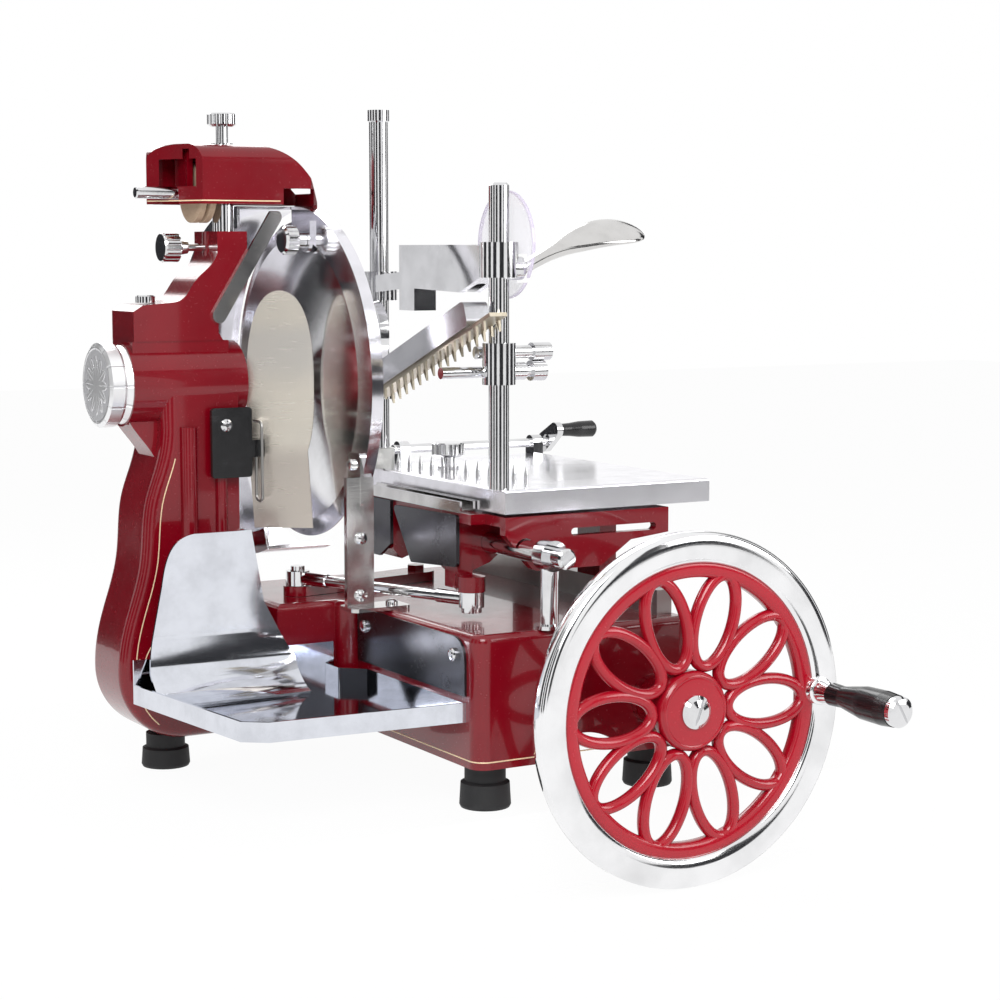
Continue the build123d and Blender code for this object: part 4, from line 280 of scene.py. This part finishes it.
finishes = {
    redEnamel: "base_casting column_casting sharpener_bracket sharpener_cover rocker_arm carriage_casting",
    chrome: (
        "body_screws guide_bar bar_posts wheel_screw handle_stud knife_nut rod_pin connecting_rod "
        "table_spikes "
        "press_posts feed_bearings table_knob feed_screw press_yoke press_lock press_stop_bars "
        "sharpener_post cover_knob stone_rod clamp_knob guard_knob press_handle"
    ),
    polishedSteel: "guard_bracket guard_stay carriage_channel",
    brushedSteel: "press_arm",
    darkPlate: "carriage_plates flank_plate",
    trayMetal: "slice_tray slice_deflector",
    shaftSteel: "knife_chain wire_clip carriage_rail drive_shaft cross_shaft knife_spindle",
    brassTone: "shaft_bushes press_teeth",
    tableMetal: "meat_table",
    guardMetal: "guard_ring guard_hood",
    knifeMetal: "knife",
    blackRubber: "feet",
    blackGrip: "rest_plate handle_grip feed_handle",
    whitePlastic: "rear_post_bush",
    tanStone: "sharpening_stones",
    creamPlate(): "slice_plate",
    clearSheet(): "hand_guard_disc",
    rosetteCap(): "spindle_cap",
    wheelEnamel: "flywheel",
}
for material, nodeNames in finishes.items():
    for nodeName in nodeNames.split():
        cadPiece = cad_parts[nodeName]
        for materialSlot in cadPiece.material_slots:
            materialSlot.material = material
print("finishes on the CAD nodes")


# Rounded edges on castings and plates, so that they catch the light
softEdges = {
    "base_casting": 2.0, "column_casting": 1.6, "sharpener_bracket": 2.2, "sharpener_cover": 1.6,
    "carriage_casting": 1.2, "rocker_arm": 1.5, "meat_table": 1.0, "press_yoke": 1.2, "guard_bracket": 0.7,
    "slice_tray": 0.5, "slice_deflector": 0.5, "press_arm": 0.8, "carriage_plates": 0.6, "rest_plate": 0.8,
}
for nodeName, width in softEdges.items():
    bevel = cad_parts[nodeName].modifiers.new("softEdge", "BEVEL")
    bevel.width = width * mm
    bevel.segments = 3
    bevel.limit_method = "ANGLE"
    bevel.angle_limit = math.radians(40)
    bevel.harden_normals = True
print("rounded edges")


# ---- mesh helpers ----

def meshPiece(name, points, faces, material, body, smooth=True):
    mesh = bpy.data.meshes.new(name)
    mesh.from_pydata([tuple(point) for point in points], [], faces)
    mesh.materials.append(material)
    for polygon in mesh.polygons:
        polygon.use_smooth = smooth
    piece = bpy.data.objects.new(name, mesh)
    bpy.context.collection.objects.link(piece)
    if body:
        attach(piece, body)
    return piece


# Closed or open profile of (distance along the axis, radius), turned round an axis
def turnedMesh(origin, axis, profile, steps=128):
    axis = Vector(axis).normalized()
    side = axis.orthogonal().normalized()
    other = axis.cross(side)
    points, faces = [], []
    for step in range(steps):
        angle = 2 * math.pi * step / steps
        outward = side * math.cos(angle) + other * math.sin(angle)
        for along, radius in profile:
            points.append((Vector(origin) + axis * along + outward * radius) * mm)
    count = len(profile)
    for step in range(steps):
        here, there = step * count, (step + 1) % steps * count
        for number in range(count - 1):
            faces.append((here + number, here + number + 1, there + number + 1, there + number))
    return points, faces


# Loft through closed rings of points
def loftMesh(rings):
    points = [point for ring in rings for point in ring]
    size = len(rings[0])
    faces = [
        (r * size + i, r * size + (i + 1) % size, (r + 1) * size + (i + 1) % size, (r + 1) * size + i)
        for r in range(len(rings) - 1)
        for i in range(size)
    ]
    faces.append(tuple(range(size))[::-1])
    faces.append(tuple((len(rings) - 1) * size + i for i in range(size)))
    return points, faces


# ---- Geometry Nodes helpers ----

class Tree:
    def __init__(self, name, inputs):
        self.group = bpy.data.node_groups.new(name, "GeometryNodeTree")
        face = self.group.interface
        face.new_socket("Geometry", in_out="INPUT", socket_type="NodeSocketGeometry")
        for inputName, (kind, value) in inputs.items():
            socket = face.new_socket(inputName, in_out="INPUT", socket_type="NodeSocket" + kind)
            if value is not None:
                socket.default_value = value
        face.new_socket("Geometry", in_out="OUTPUT", socket_type="NodeSocketGeometry")
        self.start = self.group.nodes.new("NodeGroupInput")
        self.end = self.group.nodes.new("NodeGroupOutput")

    def node(self, kind, settings=None, **links):
        made = self.group.nodes.new(kind)
        for key, value in (settings or {}).items():
            setattr(made, key, value)
        for key, value in links.items():
            byNumber = key[0] == "n" and key[1:].isdigit()
            socket = made.inputs[int(key[1:]) if byNumber else key.replace("_", " ")]
            if isinstance(value, bpy.types.NodeSocket):
                self.group.links.new(value, socket)
            else:
                socket.default_value = value
        return made.outputs

    def close(self, geometry, material):
        whole = self.node("GeometryNodeRealizeInstances", Geometry=geometry)[0]
        painted = self.node("GeometryNodeSetMaterial", Geometry=whole, Material=material)[0]
        self.group.links.new(painted, self.end.inputs[0])


# Runs a tree on a start mesh and keeps the result as a plain mesh
def grow(name, tree, values, startPoints=((0, 0, 0),), startEdges=(), attributes=None):
    seed = bpy.data.meshes.new(name + "Seed")
    seed.from_pydata([tuple(point) for point in startPoints], list(startEdges), [])
    for attributeName, rows in (attributes or {}).items():
        layer = seed.attributes.new(attributeName, "FLOAT_VECTOR", "POINT")
        for number, row in enumerate(rows):
            layer.data[number].vector = row
    piece = bpy.data.objects.new(name, seed)
    bpy.context.collection.objects.link(piece)
    modifier = piece.modifiers.new("grow", "NODES")
    modifier.node_group = tree.group
    for item in tree.group.interface.items_tree:
        if item.in_out == "INPUT" and item.name in values:
            modifier[item.identifier] = values[item.name]
    piece.update_tag()
    evaluated = piece.evaluated_get(bpy.context.evaluated_depsgraph_get())
    mesh = bpy.data.meshes.new_from_object(evaluated)
    piece.modifiers.remove(modifier)
    piece.data = mesh
    for polygon in mesh.polygons:
        polygon.use_smooth = True
    return piece


# ---- flywheel: turned rim, ring and hub, with round-edged petals grown between them ----

wheel = {
    "petals": 10, "petalLength": 72.0, "petalWidth": 35.5, "petalCentre": 71.0, "bandWidth": 4.6,
    "bandDepth": 5.2, "middleY": -208.0, "centre": (139.0, 75.0),
}


def petalTree():
    tree = Tree("petals", {
        "Petals": ("Int", wheel["petals"]), "Length": ("Float", 0.07), "Width": ("Float", 0.03),
        "Centre": ("Float", 0.07), "Band Width": ("Float", 0.004), "Band Depth": ("Float", 0.005),
    })
    out = tree.start.outputs
    loop = tree.node("GeometryNodeCurvePrimitiveCircle", Resolution=72, Radius=0.5)[0]
    size = tree.node("ShaderNodeCombineXYZ", X=out["Length"], Y=out["Width"], Z=1.0)[0]
    move = tree.node("ShaderNodeCombineXYZ", X=out["Centre"])[0]
    oval = tree.node("GeometryNodeTransform", Geometry=loop, Scale=size, Translation=move)[0]
    ring = tree.node("GeometryNodeCurvePrimitiveCircle", Resolution=20, Radius=1.0)[0]
    section = tree.node("ShaderNodeCombineXYZ", X=out["Band Width"], Y=out["Band Depth"], Z=1.0)[0]
    profile = tree.node("GeometryNodeTransform", Geometry=ring, Scale=section)[0]
    band = tree.node("GeometryNodeCurveToMesh", Curve=oval, n1=profile)[0]
    turn = tree.node("ShaderNodeMath", {"operation": "DIVIDE"}, n0=2 * math.pi, n1=out["Petals"])[0]
    number = tree.node("GeometryNodeInputIndex")[0]
    angle = tree.node("ShaderNodeMath", {"operation": "MULTIPLY"}, n0=turn, n1=number)[0]
    spin = tree.node("ShaderNodeCombineXYZ", Z=angle)[0]
    spots = tree.node("GeometryNodePoints", Count=out["Petals"])[0]
    flower = tree.node("GeometryNodeInstanceOnPoints", Points=spots, Instance=band, Rotation=spin)[0]
    upright = tree.node("GeometryNodeTransform", Geometry=flower, Rotation=(math.pi / 2, 0, 0))[0]
    tree.close(upright, wheelEnamel)
    return tree


def buildWheel():
    petals = grow("wheelPetals", petalTree(), {
        "Petals": wheel["petals"], "Length": wheel["petalLength"] * mm, "Width": wheel["petalWidth"] * mm,
        "Centre": wheel["petalCentre"] * mm, "Band Width": wheel["bandWidth"] * mm,
        "Band Depth": wheel["bandDepth"] * mm,
    })
    shift = Vector((wheel["centre"][0], wheel["middleY"], wheel["centre"][1])) * mm
    for vertex in petals.data.vertices:
        vertex.co = vertex.co + shift
    axle = (wheel["centre"][0], 0, wheel["centre"][1])
    front, rear = -217.0, -199.0
    rimProfile = [
        (rear, 114), (rear - 0.5, 116), (rear, 118), (rear, 133), (rear - 2, 136.6), (rear - 5, 138),
        (front + 5, 138), (front + 2, 136.8), (front + 0.4, 134), (front, 130), (front + 0.2, 122),
        (front + 1.2, 117), (front + 2.6, 114.6), (front + 5, 114), (rear, 114),
    ]
    ringProfile = [
        (rear - 3, 104), (rear - 3, 115), (front + 4, 115), (front + 3.4, 112), (front + 3.6, 106),
        (front + 5, 103.4), (front + 8, 102.6), (rear - 5, 102.6), (rear - 3, 104),
    ]
    hubProfile = [
        (front + 1, 9), (front + 1, 25), (front + 1.3, 27.6), (front + 2.6, 29.6), (front + 5, 31),
        (rear - 1, 31), (rear + 1, 29), (rear + 4, 20), (-165, 20), (-164.4, 19), (-164.4, 9.9),
    ]
    innerHub = [(front + 1.4, 26), (front + 0.5, 27), (front + 0.5, 28), (front + 2.0, 29.2)]
    boss = [(-199, 6), (-199, 10.4), (-200, 11), (-218.8, 11), (-220, 10), (-220, 6)]
    for name, origin, profile, material in (
        ("wheelRim", axle, rimProfile, rimChrome),
        ("wheelRing", axle, ringProfile, wheelEnamel),
        ("wheelHub", axle, hubProfile, wheelEnamel),
        ("wheelHubLine", axle, innerHub, wheelEnamel),
        ("wheelBoss", (257, 0, 80), boss, rimChrome),
    ):
        points, faces = turnedMesh(origin, (0, 1, 0), profile, 160 if origin is axle else 48)
        piece = meshPiece(name, points, faces, material, "wheel")
        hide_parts("flywheel")
    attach(petals, "wheel")
    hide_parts("flywheel")


buildWheel()
print("flywheel")


# ---- press handle: a smooth paddle ----

paddle = {
    "stations": (
        (50, 411, 6.8, 7.6), (56, 413.5, 7.2, 7.8), (64, 418, 7.8, 8.0), (75, 424.5, 8.8, 8.6),
        (88, 431, 10.6, 9.2),
        (102, 436.6, 13.2, 9.0), (116, 440.4, 15.2, 8.2), (130, 442.6, 16.2, 7.0), (143, 443.2, 15.6, 5.8),
        (153, 442.6, 12.8, 4.6), (159.5, 441.8, 8.6, 3.4), (162.6, 441.3, 4.2, 1.8), (163.2, 441.2, 1.0, 0.6),
    ),
    "y": -104.0, "roll": 36.0, "drop": 3.5,
}


def buildPaddle():
    rings = []
    for x, z, halfWidth, halfHeight in paddle["stations"]:
        ring = []
        turned = min(max((x - 62) / 40, 0), 1)
        roll = math.radians(paddle["roll"]) * turned
        for step in range(32):
            angle = 2 * math.pi * step / 32
            across, up = math.cos(angle), math.sin(angle)
            cup = 0.22 * halfHeight * (1 - across * across) if up > 0 else 0.0
            side, rise = halfWidth * across, 0.8 * halfHeight * up - cup
            y = paddle["y"] + side * math.cos(roll) - rise * math.sin(roll)
            height = z + side * math.sin(roll) + rise * math.cos(roll) - paddle["drop"] * turned
            ring.append(Vector((x, y, height)) * mm)
        rings.append(ring)
    points, faces = loftMesh(rings)
    piece = meshPiece("pressPaddle", points, faces, polishedSteel, "press")
    smooth = piece.modifiers.new("smooth", "SUBSURF")
    smooth.levels = smooth.render_levels = 1
    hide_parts("press_handle")


buildPaddle()
print("press handle")


# ---- painted lines in pale gold ----

def goldLine():
    look = Finish("goldLine", **{"Metallic": 0.35})
    look.colour(look.mix(look.noise(300, 3), (0.86, 0.62, 0.36), (0.92, 0.74, 0.52)))
    look.rough(look.noise(200, 2) * 0.2 + 0.25)
    look.bump(look.noise(600, 2), 0.1, 0.0002)
    return look.material


stripe = {"radius": 0.55, "columnInset": 12.0, "baseHeight": 41.0, "coverHeight": 464.6}
goldPaint = goldLine()


def lineTree():
    tree = Tree("paintedLine", {"Radius": ("Float", 0.0006)})
    path = tree.node("GeometryNodeMeshToCurve", Mesh=tree.start.outputs[0])[0]
    ring = tree.node("GeometryNodeCurvePrimitiveCircle", Resolution=8, Radius=tree.start.outputs["Radius"])[0]
    body = tree.node("GeometryNodeCurveToMesh", Curve=path, n1=ring)[0]
    tree.close(body, goldPaint)
    return tree


stripeTree = lineTree()


def paintedLine(name, points, body, closed=False):
    edges = [(i, i + 1) for i in range(len(points) - 1)]
    if closed:
        edges.append((len(points) - 1, 0))
    piece = grow(name, stripeTree, {"Radius": stripe["radius"] * mm}, [Vector(p) * mm for p in points], edges)
    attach(piece, body)
    return piece


def columnLine():
    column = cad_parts["column_casting"]
    tree = BVHTree.FromPolygons(
        [vertex.co.copy() for vertex in column.data.vertices],
        [tuple(polygon.vertices) for polygon in column.data.polygons],
    )
    points = []
    for z in range(258, 40, -6):
        hit = tree.ray_cast(Vector((-0.4, 0.120, z * mm)), Vector((1, 0, 0)))[0]
        if hit is None:
            continue
        x = hit.x / mm + stripe["columnInset"]
        face = tree.ray_cast(Vector((x * mm, -0.2, z * mm)), Vector((0, 1, 0)))[0]
        if face is not None:
            points.append((x, face.y / mm, z))
    return points


columnPoints = columnLine()
paintedLine("columnLine", columnPoints, "frame")
scroll = {"x": -149, "y": 92, "z": 84, "radius": 38}
turns = [step * math.pi / 36 for step in range(72)]
volute = [
    (scroll["x"] + scroll["radius"] * math.cos(a), scroll["y"], scroll["z"] + scroll["radius"] * math.sin(a))
    for a in turns
]
paintedLine("voluteLine", volute, "frame", True)
corner = [(-7 - 12 * math.cos(a), -145 - 12 * math.sin(a)) for a in (0, 0.26, 0.52, 0.79, 1.05, 1.31, 1.57)]
baseLine = [(-19, 30)] + corner + [(100, -157), (164, -157)]
paintedLine("baseLine", [(x, y, stripe["baseHeight"]) for x, y in baseLine], "frame")
coverLine = [(-153.6, 150), (-128, 95), (-60, 95)]
paintedLine("coverLine", [(x, y, stripe["coverHeight"]) for x, y in coverLine], "sharpener")
print("painted lines")


# ---- slotted screw heads on the body ----

screws = {
    "places": (
        ((-38, -2.5, 150), (0, -1, 0)), ((-38, -2.5, 196), (0, -1, 0)), ((-38, 11, 254), (-1, 0, 0)),
        ((-9, 0, 141), (0, 0, 1)), ((-21, -125, 120), (-1, 0, 0)), ((-21, 24, 120), (-1, 0, 0)),
    ),
    "radius": 5.0, "height": 4.0,
}


def screwHead():
    radius, height = screws["radius"], screws["height"]
    profile = [
        (0, radius), (height * 0.45, radius), (height * 0.8, radius * 0.8), (height, radius * 0.35),
        (height, 0.01),
    ]
    points, faces = turnedMesh((0, 0, 0), (0, 0, 1), profile, 32)
    head = meshPiece("screwHeadPattern", points, faces, chrome, None)
    work = bmesh.new()
    work.from_mesh(head.data)
    slotHalf = 0.6 * mm
    for vertex in work.verts:
        if abs(vertex.co.y) < slotHalf * 2 and vertex.co.z > height * 0.7 * mm:
            vertex.co.z -= 1.3 * mm
    work.to_mesh(head.data)
    work.free()
    return head


def screwTree(head):
    tree = Tree("screwHeads", {"Head": ("Object", None)})
    info = tree.node("GeometryNodeObjectInfo", Object=tree.start.outputs["Head"])
    way = tree.node("GeometryNodeInputNamedAttribute", {"data_type": "FLOAT_VECTOR"}, Name="way")[0]
    turn = tree.node("FunctionNodeAlignRotationToVector", {"axis": "Z"}, Vector=way)[0]
    spots = tree.start.outputs[0]
    many = tree.node("GeometryNodeInstanceOnPoints", Points=spots, Instance=info["Geometry"], Rotation=turn)[0]
    tree.close(many, chrome)
    return tree


head = screwHead()
places = [Vector(place) * mm for place, way in screws["places"]]
ways = [way for place, way in screws["places"]]
bodyScrews = grow("bodyScrewHeads", screwTree(head), {"Head": head}, places, attributes={"way": ways})
bpy.data.objects.remove(head)
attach(bodyScrews, "frame")
print("screw heads")


# ---- floor, plinth, light and camera ----

def paleStage(name):
    material = bpy.data.materials.new(name)
    material.use_nodes = True
    tree = material.node_tree
    shader = tree.nodes["Principled BSDF"]
    shader.inputs["Base Color"].default_value = (0.92, 0.92, 0.92, 1)
    shader.inputs["Roughness"].default_value = 0.9
    glow = tree.nodes.new("ShaderNodeEmission")
    glow.inputs["Color"].default_value = (1, 1, 1, 1)
    ray = tree.nodes.new("ShaderNodeLightPath")
    seen = Wire(tree, ray.outputs["Is Camera Ray"])
    seen = seen.math("MAXIMUM", Wire(tree, ray.outputs["Is Glossy Ray"]))
    seen = seen.math("MAXIMUM", Wire(tree, ray.outputs["Is Transmission Ray"])) * 0.96
    mix = tree.nodes.new("ShaderNodeMixShader")
    plug(tree, seen, mix.inputs[0])
    tree.links.new(shader.outputs[0], mix.inputs[1])
    tree.links.new(glow.outputs[0], mix.inputs[2])
    tree.links.new(mix.outputs[0], tree.nodes["Material Output"].inputs[0])
    return material


studio = {"floorZ": -63.4, "floorHalf": 6000.0, "plinth": ((-420, -165), (420, 420))}
stageMaterial = paleStage("paleStage")
half, low = studio["floorHalf"], studio["floorZ"]
floor = meshPiece(
    "floor",
    [Vector((x, y, low)) * mm for x, y in ((-half, -half), (half, -half), (half, half), (-half, half))],
    [(0, 1, 2, 3)], stageMaterial, None, False,
)
(leftX, frontY), (rightX, backY) = studio["plinth"]
plinthRing = [(leftX, frontY), (rightX, frontY), (rightX, backY), (leftX, backY)]
plinth = meshPiece(
    "counter",
    [Vector((x, y, z)) * mm for z in (low, -0.2) for x, y in plinthRing],
    [(0, 1, 5, 4), (1, 2, 6, 5), (2, 3, 7, 6), (3, 0, 4, 7), (4, 5, 6, 7)], stageMaterial, None, False,
)


def studioWorld():
    world = bpy.data.worlds.new("studio")
    bpy.context.scene.world = world
    world.use_nodes = True
    tree = world.node_tree
    ray = tree.nodes.new("ShaderNodeLightPath")
    white = Wire(tree, ray.outputs["Is Camera Ray"])
    white = white.math("MAXIMUM", Wire(tree, ray.outputs["Is Transmission Ray"]))
    white = white.math("MAXIMUM", Wire(tree, ray.outputs["Is Glossy Ray"]))
    level = white + (white * -1.0 + 1.0) * 0.5
    background = tree.nodes["Background"]
    background.inputs["Color"].default_value = (1, 1, 1, 1)
    tree.links.new(level.socket, background.inputs["Strength"])


# Dark cards round the set, which only reflections see: they draw the black lines in the chrome
cards = {
    "turns": (
        (-158, 26), (-118, 22), (-84, 18), (-52, 20), (-12, 24), (30, 20), (66, 26), (104, 22), (126, 8),
        (180, 10),
    ),
    "distance": 2600.0, "low": -62.0, "high": 2300.0,
}


def darkCards():
    dark = Finish("darkCard")
    dark.colour((0.018, 0.018, 0.022, 1))
    dark.rough(0.9)
    reach = cards["distance"] * mm
    for number, (turn, width) in enumerate(cards["turns"]):
        edges = [math.radians(turn + width * side) for side in (-0.5, 0.5)]
        feet = [(reach * math.sin(angle), -reach * math.cos(angle)) for angle in edges]
        (x0, y0), (x1, y1) = feet
        low, high = cards["low"] * mm, cards["high"] * mm
        card = meshPiece(
            "card%d" % number, [(x0, y0, low), (x1, y1, low), (x1, y1, high), (x0, y0, high)],
            [(0, 1, 2, 3)], dark.material, None, False,
        )
        card.visible_camera = card.visible_diffuse = card.visible_shadow = card.visible_transmission = False


darkCards()
studioWorld()
lamps = {
    "keyLamp": ((-900, -1500, 1500), 1100, 34), "fillLamp": ((1300, -1300, 900), 1000, 14),
    "backLamp": ((300, 1500, 1400), 1200, 16),
}
for lampName, (place, size, power) in lamps.items():
    light = bpy.data.lights.new(lampName, "AREA")
    light.energy = power
    light.size = size * mm
    lamp = bpy.data.objects.new(lampName, light)
    lamp.location = Vector(place) * mm
    lamp.rotation_euler = (Vector((0, 0, 0.2)) - lamp.location).to_track_quat("-Z", "Y").to_euler()
    bpy.context.collection.objects.link(lamp)

view = {"place": (-834.94, -1587.41, 425.16), "yaw": 30.294, "pitch": 6.386, "lens": 80.5, "sensor": 36.0}
cameraData = bpy.data.cameras.new("photoCamera")
cameraData.lens = view["lens"]
cameraData.sensor_width = view["sensor"]
cameraData.sensor_fit = "HORIZONTAL"
camera = bpy.data.objects.new("photoCamera", cameraData)
camera.location = Vector(view["place"]) * mm
camera.rotation_euler = (math.radians(90 - view["pitch"]), 0, math.radians(-view["yaw"]))
bpy.context.collection.objects.link(camera)
bpy.context.scene.camera = camera
bpy.context.scene.view_settings.view_transform = "Standard"
print("floor, light and camera")
